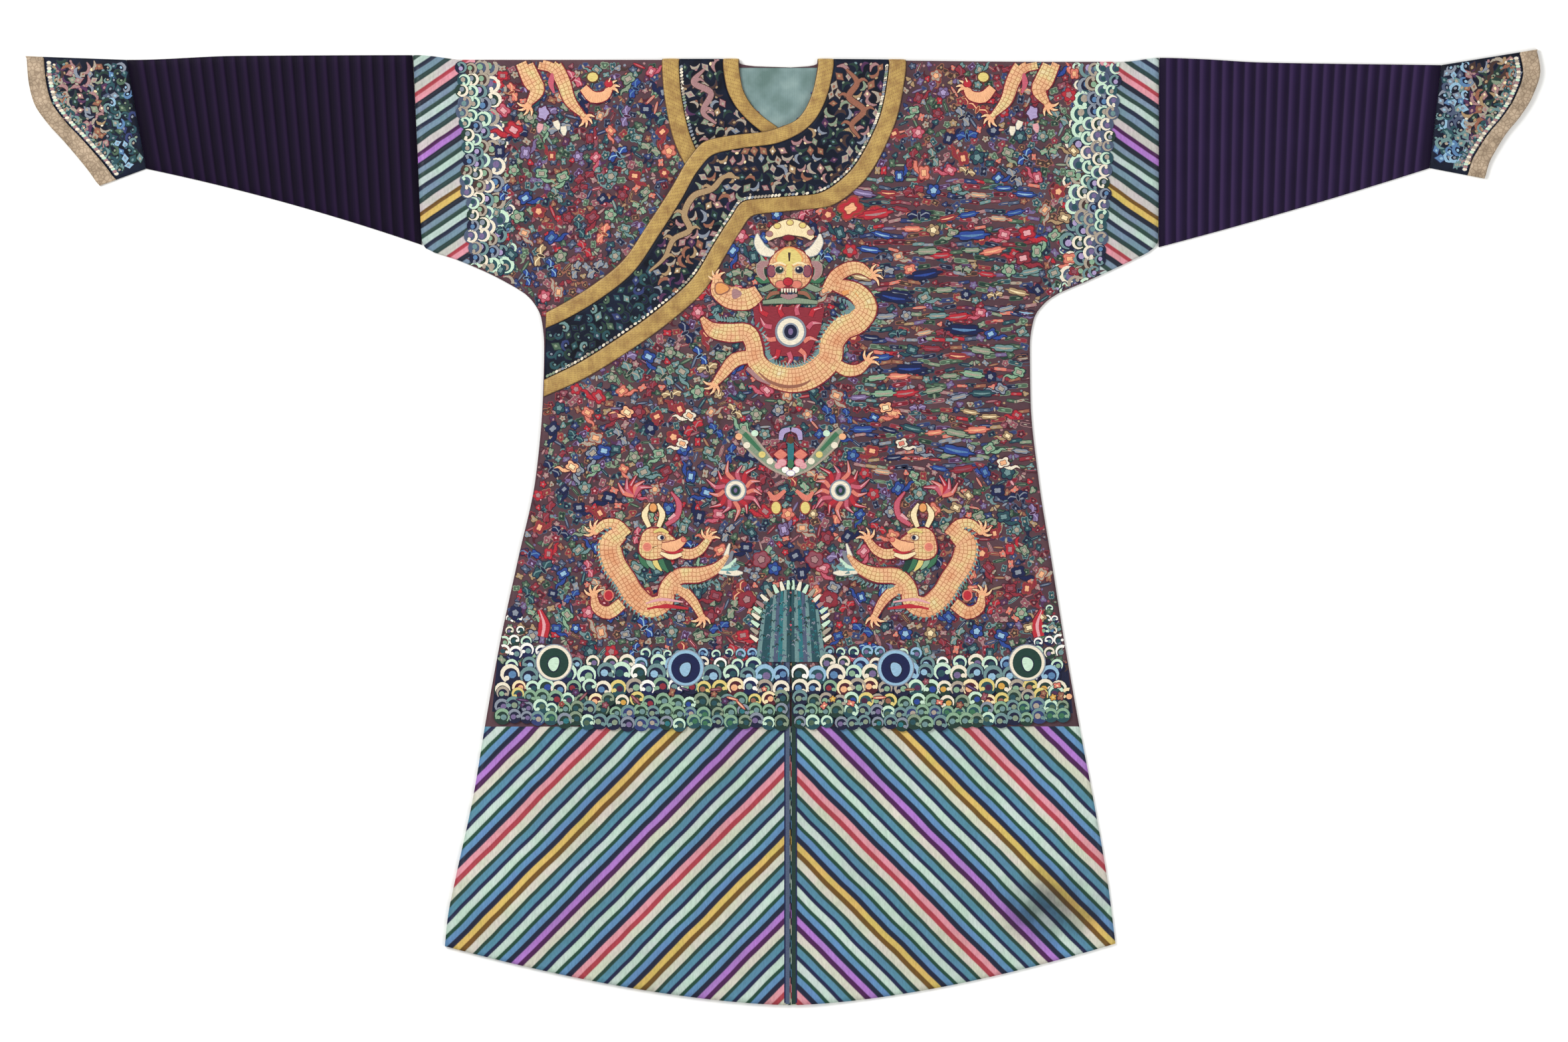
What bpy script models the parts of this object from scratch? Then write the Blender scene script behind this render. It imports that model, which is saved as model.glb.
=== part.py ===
"""A lined silk dragon robe laid flat, front up, in metres with +Z up.

Left and right are the wearer's: the wearer's left lies towards +X, the shoulders towards +Y.
Each body half is one loom width folded over the shoulder, so its back and front are one wall.
The wearer's right front runs on under the overlap, which is joined to the left half at the
centre seam and closes across the chest to the right side. Places on the cloth are given by
across, from the centre seam towards the wearer's left, and below, down from the shoulder fold.
"""

import math

import bmesh
import bpy
import numpy as np



def table(columns, rows):
    """Rows of numbers as named columns."""
    return dict(zip(columns, np.array(rows, float).T))


# ---------------------------------------------------------------- driving dimensions

CENTRE_X = 0.0122  # the centre seam, from the middle of the whole width
SHOULDER_Y = 0.70335  # the fold over the shoulders

WALL = 0.0016  # silk and lining sewn as one
FACING_WALL = 0.0010
BAND_WALL = 0.0015
SEAM = 0.0003  # between pieces sewn edge to edge
PUFF = 0.0022  # how far the front lifts off the back, away from its edges
PUFF_REACH = 0.055
LAYER_PUFF = 0.0008  # and the overlap off the front beneath it
TRIM_LIFT = 0.0006  # the collar's pieces off the panel that carries them

FOLD_BULGE = 0.0030  # half the depth of the rounded shoulder fold
UNDER_EDGE = 0.010  # the right front runs this far past the centre seam
SLIT_TOP = 0.788  # the walking slit, below the shoulder
SLIT_HALF = 0.0015

HEM_CENTRE = 1.4225
SKIRT_START = 1.10  # from here the grid's rows bend into the curve of the hem
HEM_POWER = 1.6
HEM_RISE = {"left": 0.093, "right": 0.089}
HEM_HALF = {"left": 0.490, "right": 0.521}

# Where the body's outer edge runs: sleeve end, underarm curve, side and skirt.
SIDE_EDGE = table(
    ("below", "right", "left"),
    [
        (0.000, 0.568, 0.554),
        (0.150, 0.561, 0.554),
        (0.272, 0.555, 0.553),
        (0.284, 0.549, 0.546),
        (0.300, 0.504, 0.517),
        (0.330, 0.437, 0.453),
        (0.360, 0.391, 0.389),
        (0.390, 0.375, 0.366),
        (0.430, 0.371, 0.360),
        (0.510, 0.373, 0.361),
        (0.630, 0.384, 0.373),
        (0.750, 0.410, 0.392),
        (0.870, 0.436, 0.411),
        (0.990, 0.458, 0.432),
        (1.110, 0.478, 0.455),
        (1.230, 0.504, 0.476),
        (1.290, 0.516, 0.484),
        (1.340, 0.521, 0.490),
    ],
)
UNDERARM_ROWS = [0.245, 0.272, 0.284, 0.300, 0.330, 0.360, 0.390]
UNDERARM_END = 0.430

# How far the top edge stands above the shoulder line, across the whole width.
TOP_EDGE = table(
    ("across", "above"),
    [
        (-1.150, 0.0060),
        (-1.060, 0.0000),
        (-0.990, 0.0000),
        (-0.830, 0.0060),
        (-0.560, 0.0070),
        (-0.490, 0.0000),
        (0.000, 0.0000),
        (0.400, -0.0030),
        (0.500, -0.0030),
        (0.556, 0.0030),
        (0.620, 0.0010),
        (0.710, -0.0040),
        (0.980, -0.0080),
    ],
)
TOP_REACH = 0.15

# The collar as rungs from the neck's edge to the outer side of its outer band. A place below
# zero is on the back. The left collar ends at the right side, past the overlap's whole edge.
COLLAR_COLUMNS = ("edge_across", "edge_below", "far_across", "far_below")
COLLAR_LEFT = table(
    COLLAR_COLUMNS,
    [
        (0.0002, -0.0115, 0.0002, -0.1450),
        (0.020, -0.0105, 0.108, -0.1150),
        (0.034, -0.0085, 0.160, -0.0600),
        (0.040, -0.0060, 0.172, -0.0220),
        (0.041, 0.0060, 0.174, 0.0060),
        (0.035, 0.0400, 0.170, 0.0400),
        (0.023, 0.0720, 0.162, 0.0800),
        (0.008, 0.0905, 0.145, 0.1250),
        (-0.010, 0.0990, 0.110, 0.1830),
        (-0.040, 0.1080, 0.053, 0.2220),
        (-0.085, 0.1130, -0.005, 0.2280),
        (-0.128, 0.1220, -0.055, 0.2340),
        (-0.152, 0.1460, -0.078, 0.2620),
        (-0.180, 0.1930, -0.100, 0.2980),
        (-0.215, 0.2470, -0.128, 0.3450),
        (-0.253, 0.3020, -0.180, 0.3930),
        (-0.300, 0.3400, -0.250, 0.4430),
        (-0.340, 0.3650, -0.315, 0.4820),
        (-0.368, 0.3800, -0.3715, 0.5070),
    ],
)
COLLAR_RIGHT = table(
    COLLAR_COLUMNS,
    [
        (-0.0002, -0.0115, -0.0002, -0.1450),
        (-0.035, -0.0110, -0.120, -0.1200),
        (-0.065, -0.0085, -0.176, -0.0600),
        (-0.077, -0.0060, -0.192, -0.0220),
        (-0.078, 0.0060, -0.194, 0.0060),
        (-0.073, 0.0400, -0.192, 0.0400),
        (-0.061, 0.0650, -0.187, 0.0750),
        (-0.042, 0.0850, -0.178, 0.1150),
        (-0.018, 0.1030, -0.158, 0.1600),
        (0.000, 0.1250, -0.130, 0.1950),
    ],
)
BINDING_WIDTH = 0.024
BAND_WIDTH = 0.026

# Where the neck's edge ends: at the centre seam behind, at the centre seam on the left front,
# and past it on the right front, which then widens into its under edge.
BACK_NECK = 0.0115
LEFT_NECK = 0.0960
RIGHT_NECK = 0.125
UNDER_EDGE_FULL = 0.150

# Grid rows that follow the neck behind, and the overlap's nearly level top edge.
BACK_NECK_ROWS = [0.0060, 0.0085, 0.0105, BACK_NECK]
BACK_NECK_CLEAR = 0.040
FRONT_NECK_CLEAR = 0.020
NECK_END = 0.21
OVERLAP_ROWS = [0.0985, 0.1035, 0.1080, 0.1105, 0.1130, 0.1165, 0.1220, 0.1330]
OVERLAP_DIAGONAL = (0.146, 0.247, 0.380)  # steep, then flatter, down to the side edge

# The lining that shows in the neck, tucked a little under the fronts.
LINING_WALL = 0.0010
LINING_TUCK = 0.014
LINING_ROWS = (0.0135, 0.030, 0.050, 0.070, 0.088, 0.104, 0.116)
LINING_LIMIT = {"left": 0.099, "right": 0.103}

# The back is lifted here, so that the back of the collar lies between it and the floor.
BACK_LIFT = TRIM_LIFT + BAND_WALL
BACK_LIFT_CENTRE = -0.010
BACK_LIFT_REACH = (0.215, 0.175)
BACK_LIFT_END = 1.45

# The overlap rises where the right collar runs under its edge.
CROSSING = ((0.000, 0.112), (-0.145, 0.160))
CROSSING_LIFT = 0.0024
CROSSING_REACH = (0.030, 0.120)

# The largest soft folds of the front, each a ridge along a straight line.
CREASE_COLUMNS = ("across_1", "below_1", "across_2", "below_2", "height", "width")
CREASES = [
    dict(zip(CREASE_COLUMNS, row))
    for row in (
        (0.375, 0.660, 0.330, 1.330, 0.0016, 0.048),
        (0.215, 0.900, 0.260, 1.380, 0.0013, 0.045),
        (0.415, 1.060, 0.445, 1.300, 0.0012, 0.040),
        (-0.330, 0.700, -0.390, 1.320, 0.0015, 0.050),
        (-0.150, 0.980, -0.190, 1.400, 0.0012, 0.045),
        (0.345, 0.380, 0.230, 0.260, 0.0015, 0.042),
        (-0.330, 0.400, -0.235, 0.275, 0.0014, 0.045),
        (0.420, 0.060, 0.440, 0.250, 0.0010, 0.045),
        (-0.430, 0.050, -0.450, 0.260, 0.0010, 0.045),
    )
]

# Pleated sleeve lengths, from the body's end to the cuff.
PLEATS = 24
PLEAT_DEPTH = 0.0018
PLEAT_TURN = 0.16  # the share of each pleat that its turned edge takes
SLEEVE_INSIDE = (0.0, 0.25, 0.5, 0.75, 1.0)
SLEEVES = {
    "right": {
        "body_top": -0.5690,
        "body_bottom": (-0.5555, 0.2785),
        "cuff_top": -0.9990,
        "cuff_bottom": (-0.9705, 0.1640),
        "bow": 0.0070,
    },
    "left": {
        "body_top": 0.5550,
        "body_bottom": (0.5540, 0.2820),
        "cuff_top": 0.9790,
        "cuff_bottom": (0.9620, 0.1630),
        "bow": -0.0030,
    },
}

# The flared horse-hoof cuffs: their open edge, from the top down, as (across, below).
CUFF_WALL = 0.0014
CUFF_OPEN = 0.0006  # how far the hand opening gapes
CUFF_EDGES = {
    "right": [
        (-1.1500, -0.0060),
        (-1.1480, 0.0250),
        (-1.1400, 0.0620),
        (-1.1180, 0.0960),
        (-1.0960, 0.1200),
        (-1.0720, 0.1480),
        (-1.0560, 0.1680),
        (-1.0410, 0.1900),
    ],
    "left": [
        (1.1230, -0.0160),
        (1.1285, 0.0160),
        (1.1170, 0.0540),
        (1.0990, 0.0840),
        (1.0770, 0.1110),
        (1.0620, 0.1350),
        (1.0510, 0.1560),
        (1.0450, 0.1790),
    ],
}
CUFF_BAND = 0.026
CUFF_BAND_RAISED = 0.0008  # the band is turned over double, so it stands above the cuff
CUFF_STATIONS = (0.0, 0.33, 0.67, 1.0)

# How finely the shapes are divided.
NECK_STEP = 0.026
BACK_NECK_STEP = 0.0416
DIAGONAL_STEP = 0.030
FRONT_STEP = 0.066
BACK_STEP = 0.17
HALF_COLUMNS = 10
OVERLAP_COLUMNS = 9
LINING_COLUMNS = 6
RUNG_PARTS = 2
FACING_POINTS = 5
FOLD_TURNS = (-0.6, 0.0, 0.6)
TUBE_SHARES = np.array([0.0, 0.20, 0.50, 0.76, 0.92, 1.0])
UNDERSIDE = (5, 2, 0)  # the points of TUBE_SHARES that the flat underside keeps
TUBE_TURNS = (0.5, 0.0, -0.5)
BOTTOM_BULGE = 0.0020  # half the depth of the rounded underarm seam
CLOSE = 1e-6

# ---------------------------------------------------------------- curves and tables


def smoothstep(low, high, value):
    t = np.clip((value - low) / (high - low), 0.0, 1.0)
    return t * t * (3.0 - 2.0 * t)


def follow(places, values, at):
    """A smooth curve through a table's rows that never overshoots them."""
    places = np.asarray(places, float)
    values = np.asarray(values, float)
    at = np.clip(np.asarray(at, float), places[0], places[-1])
    step = np.diff(places)
    slope = np.diff(values) / step
    product = slope[:-1] * slope[1:]
    total = slope[:-1] + slope[1:]
    inner = np.where(product > 0.0, 2.0 * product / np.where(total == 0.0, 1.0, total), 0.0)
    tangent = np.concatenate([slope[:1], inner, slope[-1:]])
    i = np.clip(np.searchsorted(places, at, side="right") - 1, 0, len(step) - 1)
    t = (at - places[i]) / step[i]
    h00 = (1.0 + 2.0 * t) * (1.0 - t) ** 2
    h10 = t * (1.0 - t) ** 2
    h01 = t * t * (3.0 - 2.0 * t)
    h11 = t * t * (t - 1.0)
    return (
        h00 * values[i]
        + h10 * step[i] * tangent[i]
        + h01 * values[i + 1]
        + h11 * step[i] * tangent[i + 1]
    )


def side_half(side, below):
    """How far the body's outer edge lies from the centre seam."""
    return follow(SIDE_EDGE["below"], SIDE_EDGE[side], below)


def hem_below(across):
    """How far down the hem hangs at this distance from the centre."""
    across = np.asarray(across, float)
    rise = np.where(across > 0.0, HEM_RISE["left"], HEM_RISE["right"])
    half = np.where(across > 0.0, HEM_HALF["left"], HEM_HALF["right"])
    return HEM_CENTRE - rise * (np.abs(across) / half) ** HEM_POWER


def row_below(nominal, across):
    """A grid row's depth: level above SKIRT_START, and bent into the hem's curve at the hem."""
    share = np.maximum(nominal - SKIRT_START, 0.0) / (HEM_CENTRE - SKIRT_START)
    bent = SKIRT_START + share * (hem_below(across) - SKIRT_START)
    return np.where(nominal > SKIRT_START, bent, nominal)


def row_outer(side, nominal):
    """Where a grid row meets the body's outer edge."""
    sign = 1.0 if side == "left" else -1.0
    outer = sign * side_half(side, nominal)
    for _ in range(3):
        outer = sign * side_half(side, row_below(nominal, outer))
    return float(outer)


def garment_edge():
    """The body's side edges and hem, as one line from sleeve to sleeve."""
    depth = np.concatenate([np.linspace(0.272, 0.43, 14), np.linspace(0.47, 1.334, 16)])
    down = np.stack([-side_half("right", depth), depth], axis=1)
    across = np.linspace(-HEM_HALF["right"], HEM_HALF["left"], 26)[1:-1]
    hem = np.stack([across, hem_below(across)], axis=1)
    up = np.stack([side_half("left", depth), depth], axis=1)[::-1]
    return np.concatenate([down, hem, up])


def distance_to_segment(across, below, start, end):
    run = np.subtract(end, start)
    along = ((across - start[0]) * run[0] + (below - start[1]) * run[1]) / float(run @ run)
    along = np.clip(along, 0.0, 1.0)
    return np.hypot(across - start[0] - along * run[0], below - start[1] - along * run[1])


EDGE = garment_edge()


def edge_rise(across, below):
    """0 at the garment's edge, growing to 1 well inside it."""
    nearest = np.full(np.broadcast(across, below).shape, 10.0)
    for start, end in zip(EDGE[:-1], EDGE[1:]):
        nearest = np.minimum(nearest, distance_to_segment(across, below, start, end))
    return 1.0 - np.exp(-nearest / PUFF_REACH)


def creases(across, below):
    """The height of the largest soft folds."""
    height = np.zeros(np.broadcast(across, below).shape)
    for crease in CREASES:
        start = (crease["across_1"], crease["below_1"])
        end = (crease["across_2"], crease["below_2"])
        away = distance_to_segment(across, below, start, end)
        height += crease["height"] * np.exp(-((away / crease["width"]) ** 2))
    return height


# ---------------------------------------------------------------- heights of the layers


def back_bottom(across, below):
    """The underside of the back: flat on the floor, but for the collar's back beneath it."""
    reach = np.hypot(
        (across - BACK_LIFT_CENTRE) / BACK_LIFT_REACH[0], below / BACK_LIFT_REACH[1]
    )
    return BACK_LIFT * (1.0 - smoothstep(1.0, BACK_LIFT_END, reach))


def under_top(across, below):
    """The outer face of the right front, which lies directly on the back."""
    rise = edge_rise(across, below)
    gap = SEAM + PUFF * rise + creases(across, below) * rise
    return back_bottom(across, below) + 2.0 * WALL + gap


def overlap_lift(across, below):
    """How far the overlap's outer face lies above the right front's."""
    away = distance_to_segment(across, below, *CROSSING)
    crossing = CROSSING_LIFT * (1.0 - smoothstep(*CROSSING_REACH, away))
    return WALL + SEAM + LAYER_PUFF * edge_rise(across, below) + crossing


def over_top(across, below):
    """The outer face of the overlap and of the left front, which settles towards the left."""
    settle = 1.0 - smoothstep(0.020, 0.120, across)
    shoulder = smoothstep(0.010, 0.085, below)
    return under_top(across, below) + overlap_lift(across, below) * settle * shoulder


# ---------------------------------------------------------------- laying cloth in space


def top_line(across, below):
    """How far the top edge waves up or down here, dying away down the garment."""
    wave = follow(TOP_EDGE["across"], TOP_EDGE["above"], across)
    return wave * (1.0 - smoothstep(0.0, TOP_REACH, below))


def lay_front(top, across, below, out):
    """Points on a front layer, out from its outer face."""
    x = CENTRE_X + across
    y = SHOULDER_Y + top_line(across, below) - below
    return np.stack(np.broadcast_arrays(x, y, top(across, below) + out), axis=-1)


def lay_back(across, below, out):
    """Points on the back, out from its outer face, which is its underside."""
    x = CENTRE_X + across
    y = SHOULDER_Y + top_line(across, below) - below
    return np.stack(np.broadcast_arrays(x, y, back_bottom(across, below) - out), axis=-1)


def lay_fold(top, across, turn, out):
    """Points round the shoulder fold: turn is -1 at the back, 0 at its outer line, 1 in front."""
    angle = turn * math.pi / 2.0
    below = np.full(np.shape(across), FOLD_BULGE)
    high = top(across, below)
    low = back_bottom(across, below)
    middle = (high + low) / 2.0
    half = (high - low) / 2.0
    x = CENTRE_X + across
    y = SHOULDER_Y + top_line(across, below) - below + (FOLD_BULGE + out) * np.cos(angle)
    return np.stack([x, y, middle + (half + out) * np.sin(angle)], axis=-1)


def lay(top, across, place, out):
    """Points of one row. place is ("back", depth), ("fold", turn) or ("front", depth)."""
    kind, value = place
    if kind == "fold":
        return lay_fold(top, across, value, out)
    below = row_below(value, across)
    if kind == "back":
        return lay_back(across, below, out)
    return lay_front(top, across, below, out)


# ---------------------------------------------------------------- solids


def make_object(name, bm, material):
    bmesh.ops.recalc_face_normals(bm, faces=bm.faces)
    mesh = bpy.data.meshes.new(name)
    bm.to_mesh(mesh)
    bm.free()
    mesh.materials.append(material)
    mesh.shade_smooth()
    mesh.set_sharp_from_angle(angle=math.radians(40.0))
    obj = bpy.data.objects.new(name, mesh)
    bpy.context.scene.collection.objects.link(obj)
    return obj


def add_grid(bm, points):
    """A sheet of quads through a grid of points, and its vertices as rows."""
    verts = [[bm.verts.new(point) for point in row] for row in points]
    for low, high in zip(verts[:-1], verts[1:]):
        for i in range(len(low) - 1):
            bm.faces.new((low[i], low[i + 1], high[i + 1], high[i]))
    return verts


def add_rim(bm, outer, inner):
    """Quads between two matching lines of vertices."""
    for i in range(len(outer) - 1):
        bm.faces.new((outer[i], outer[i + 1], inner[i + 1], inner[i]))


def make_wall(name, outer, inner, material):
    """A closed wall between two matching grids of points."""
    bm = bmesh.new()
    face = add_grid(bm, outer)
    lining = add_grid(bm, inner)
    add_rim(bm, face[0], lining[0])
    add_rim(bm, face[-1], lining[-1])
    add_rim(bm, [row[0] for row in face], [row[0] for row in lining])
    add_rim(bm, [row[-1] for row in face], [row[-1] for row in lining])
    return make_object(name, bm, material)


def make_tube(name, outer, inner, material):
    """An open-ended tube. outer and inner are lists of rings, as many points in each ring."""
    bm = bmesh.new()
    closed_outer = []
    closed_inner = []
    for rings, closed in ((outer, closed_outer), (inner, closed_inner)):
        for ring in rings:
            verts = [bm.verts.new(point) for point in ring]
            closed.append(verts + verts[:1])
        for low, high in zip(closed[:-1], closed[1:]):
            add_rim(bm, low, high)
    add_rim(bm, closed_outer[0], closed_inner[0])
    add_rim(bm, closed_outer[-1], closed_inner[-1])
    return make_object(name, bm, material)


def make_panel(name, top, places, inner_edge, outer_edge, columns, material):
    """A body panel: one row of points for each place, from its inner edge to its outer edge."""
    shares = np.linspace(0.0, 1.0, columns + 1)
    outer = []
    inner = []
    for place in places:
        start = inner_edge(place)
        end = outer_edge(place)
        across = start + shares * (end - start)
        outer.append(lay(top, across, place, 0.0))
        inner.append(lay(top, across, place, -WALL))
    return make_wall(name, outer, inner, material)


# ---------------------------------------------------------------- body panels


def steps(start, end, step):
    """Even depths from start to end, no further apart than step."""
    count = max(1, math.ceil((end - start) / step - CLOSE))
    return list(np.linspace(start, end, count + 1))


def skirt_depths(start, step):
    """Row depths from start to the hem, with one where the rows begin to bend."""
    return steps(start, SKIRT_START, step) + steps(SKIRT_START, HEM_CENTRE, step)[1:]


def depths(start, neck_step, step):
    """Row depths from the fold to the hem, closer at the neck and round the underarm."""
    return steps(start, NECK_END, neck_step) + UNDERARM_ROWS + skirt_depths(UNDERARM_END, step)


def neck_edge(collar, place):
    """The neck's edge on one side, across from the centre seam."""
    kind, value = place
    behind = collar["edge_below"] < 0.0
    chosen = behind if kind == "back" else ~behind
    depth = np.abs(collar["edge_below"][chosen])
    order = np.argsort(depth)
    at = FOLD_BULGE if kind == "fold" else value
    return float(follow(depth[order], collar["edge_across"][chosen][order], at))


def body_places():
    """Rows of a body half: up the back from the hem, over the fold, and down the front."""
    back = [FOLD_BULGE] + BACK_NECK_ROWS + depths(BACK_NECK_CLEAR, BACK_NECK_STEP, BACK_STEP)
    front = [FOLD_BULGE] + depths(FRONT_NECK_CLEAR, NECK_STEP, FRONT_STEP)
    places = [("back", depth) for depth in reversed(back)]
    places += [("fold", turn) for turn in FOLD_TURNS]
    places += [("front", depth) for depth in front]
    return places


def slit(place):
    """Half the gap between the halves at the centre: a seam above, an open slit below."""
    kind, value = place
    return SLIT_HALF if kind != "fold" and value > SLIT_TOP else SEAM / 2.0


def body_outer(side):
    def edge(place):
        kind, value = place
        return row_outer(side, 0.0 if kind == "fold" else value)

    return edge


def left_inner(place):
    """The left half's inner edge: the neck, then the centre seam."""
    kind, value = place
    limit = BACK_NECK if kind == "back" else LEFT_NECK
    if kind == "fold" or value < limit - CLOSE:
        return max(neck_edge(COLLAR_LEFT, place), SEAM / 2.0)
    return slit(place)


def right_inner(place):
    """The right half's inner edge: the neck, then the seam behind or the under edge in front."""
    kind, value = place
    if kind == "back" and value > BACK_NECK - CLOSE:
        return -slit(place)
    if kind == "front" and value > RIGHT_NECK:
        return UNDER_EDGE * float(smoothstep(RIGHT_NECK, UNDER_EDGE_FULL, value))
    return neck_edge(COLLAR_RIGHT, place)


def overlap_places():
    """Rows of the overlap, close together where its top edge runs nearly level."""
    start, bend, side = OVERLAP_DIAGONAL
    found = OVERLAP_ROWS + steps(start, bend, NECK_STEP)
    found += steps(bend, side, DIAGONAL_STEP)[1:]
    found += skirt_depths(side, FRONT_STEP)[1:]
    return [("front", depth) for depth in found]


def overlap_outer(place):
    """The overlap's free edge, then the right side."""
    below = place[1]
    if below >= OVERLAP_DIAGONAL[-1]:
        return row_outer("right", below)
    free = COLLAR_LEFT["edge_below"] > LEFT_NECK
    return float(
        follow(COLLAR_LEFT["edge_below"][free], COLLAR_LEFT["edge_across"][free], below)
    )


def overlap_inner(place):
    return -slit(place)


def build_body(silk):
    places = body_places()
    panels = (
        ("body_left", over_top, places, left_inner, body_outer("left"), HALF_COLUMNS),
        ("body_right", under_top, places, right_inner, body_outer("right"), HALF_COLUMNS),
        (
            "front_overlap",
            over_top,
            overlap_places(),
            overlap_inner,
            overlap_outer,
            OVERLAP_COLUMNS,
        ),
    )
    for name, top, rows, inner_edge, outer_edge, columns in panels:
        make_panel(name, top, rows, inner_edge, outer_edge, columns, silk)


# ---------------------------------------------------------------- the collar

def fold_rungs(collar, behind):
    """Rungs that carry the collar over the shoulder fold, after its row numbered behind."""
    found = []
    for turn in (-1.0,) + FOLD_TURNS + (1.0,):
        share = (turn + 1.0) / 2.0
        ends = []
        for column in (collar["edge_across"], collar["far_across"]):
            ends.append(column[behind] + share * (column[behind + 1] - column[behind]))
        found.append(("fold", ends[0], turn, ends[1], turn))
    return found


def collar_rungs(collar):
    """Rungs between a collar's rows, with its turn over the shoulder fold put in."""
    numbers = np.arange(len(collar["edge_below"]))
    at = np.linspace(0, numbers[-1], RUNG_PARTS * numbers[-1] + 1)
    smooth = [follow(numbers, collar[column], at) for column in COLLAR_COLUMNS]
    behind = int(np.sum(collar["edge_below"] < 0.0)) - 1
    rungs = []
    for i, (edge_across, edge_below, far_across, far_below) in enumerate(zip(*smooth)):
        kind = "back" if i <= behind * RUNG_PARTS else "front"
        if kind == "back" or i >= (behind + 1) * RUNG_PARTS:
            rungs.append((kind, edge_across, abs(edge_below), far_across, abs(far_below)))
        if i == behind * RUNG_PARTS:
            rungs += fold_rungs(collar, behind)
    return rungs


def lay_rung(top, rung, starts, out):
    """Points along one rung, at these distances from its edge."""
    kind, edge_across, edge_below, far_across, far_below = rung
    shares = starts / rung_length(rung)
    across = edge_across + shares * (far_across - edge_across)
    if kind == "fold":
        return lay_fold(top, across, edge_below, out)
    below = edge_below + shares * (far_below - edge_below)
    if kind == "back":
        return lay_back(across, below, out)
    return lay_front(top, across, below, out)


def rung_length(rung):
    kind, edge_across, edge_below, far_across, far_below = rung
    across = far_across - edge_across
    return abs(across) if kind == "fold" else math.hypot(across, far_below - edge_below)


def facing_starts(rung):
    """Where the facing's points lie on a rung, between the binding and the outer band."""
    inside = BINDING_WIDTH + SEAM
    return np.linspace(inside, rung_length(rung) - BAND_WIDTH - SEAM, FACING_POINTS)


def binding_starts(rung):
    return np.array([0.0, BINDING_WIDTH])


def band_starts(rung):
    return rung_length(rung) - np.array([BAND_WIDTH, 0.0])


def make_collar(side, top, collar, silk, gold):
    """The facing round one side of the neck, its binding and its outer band."""
    rungs = collar_rungs(collar)
    pieces = (
        (f"collar_facing_{side}", FACING_WALL, facing_starts, silk),
        (f"neck_binding_{side}", BAND_WALL, binding_starts, gold),
        (f"collar_band_{side}", BAND_WALL, band_starts, gold),
    )
    for name, wall, starts, material in pieces:
        outer = [lay_rung(top, rung, starts(rung), TRIM_LIFT + wall) for rung in rungs]
        inner = [lay_rung(top, rung, starts(rung), TRIM_LIFT) for rung in rungs]
        make_wall(name, outer, inner, material)


def build_lining(silk):
    """The back's lining where the neck shows it, tucked a little under the fronts."""
    outer = []
    inner = []
    for below in LINING_ROWS:
        left = neck_edge(COLLAR_LEFT, ("front", min(below, LINING_LIMIT["left"])))
        right = neck_edge(COLLAR_RIGHT, ("front", min(below, LINING_LIMIT["right"])))
        across = np.linspace(right - LINING_TUCK, left + LINING_TUCK, LINING_COLUMNS + 1)
        rows = lay_back(across, np.full(across.shape, below), 0.0)
        lower = rows + np.array([0.0, 0.0, WALL + SEAM])
        inner.append(lower)
        outer.append(lower + np.array([0.0, 0.0, LINING_WALL]))
    make_wall("neck_lining", outer, inner, silk)


# ---------------------------------------------------------------- sleeves and cuffs


def tube_ring(spine, heights, proud, raised=0.0):
    """One ring of a flattened tube, round a line of plan points from its top to its bottom.

    proud moves the ring out from the tube's outer face, or in by the wall where it is negative.
    raised lifts the front alone, as a pleat does, and dies away round the folds.
    """
    down = spine[-1] - spine[0]
    down = down / np.linalg.norm(down)
    points = [(p[0], p[1], h + proud + raised) for p, h in zip(spine, heights)]

    def fold(place, height, bulge, away, turns):
        half = height / 2.0
        for turn in turns:
            angle = turn * math.pi / 2.0
            share = (1.0 + math.sin(angle)) / 2.0
            reach = (bulge + proud + raised * share) * math.cos(angle)
            z = half + (half + proud) * math.sin(angle) + raised * share
            points.append((place[0] + away[0] * reach, place[1] + away[1] * reach, z))

    fold(spine[-1], heights[-1], BOTTOM_BULGE, down, TUBE_TURNS)
    points += [(spine[i][0], spine[i][1], -proud) for i in UNDERSIDE]
    fold(spine[0], heights[0], FOLD_BULGE, -down, TUBE_TURNS[::-1])
    return [np.array(point) for point in points]


def tube_heights(spine, open_by=0.0):
    """The front's height over the floor at each point of a ring's line."""
    away = np.linalg.norm(spine - spine[-1], axis=1)
    return 2.0 * WALL + SEAM + PUFF * (1.0 - np.exp(-away / PUFF_REACH)) + open_by


def sleeve_line(side, share):
    """The line from the sleeve's top fold to its underarm seam, at a share of its length."""
    sleeve = SLEEVES[side]
    top_across = sleeve["body_top"] + share * (sleeve["cuff_top"] - sleeve["body_top"])
    start = np.array(sleeve["body_bottom"])
    bottom = start + share * (np.array(sleeve["cuff_bottom"]) - start)
    bottom[1] -= sleeve["bow"] * 4.0 * share * (1.0 - share)
    top_y = SHOULDER_Y + float(top_line(top_across, 0.0)) - FOLD_BULGE
    top = np.array([CENTRE_X + top_across, top_y])
    low = np.array([CENTRE_X + bottom[0], SHOULDER_Y - bottom[1] + BOTTOM_BULGE])
    return top + TUBE_SHARES[:, None] * (low - top)


def pleat_stations():
    """Where each pleat's lines lie along the sleeve, and how far each is raised."""
    stations = [(0.0, 0.0)]
    for pleat in range(PLEATS):
        start = (pleat + 0.5) / (PLEATS + 1)
        stations.append((start, 1.0))
        stations.append((start + PLEAT_TURN / (PLEATS + 1), 0.0))
    stations.append((1.0, 0.0))
    return stations


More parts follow.
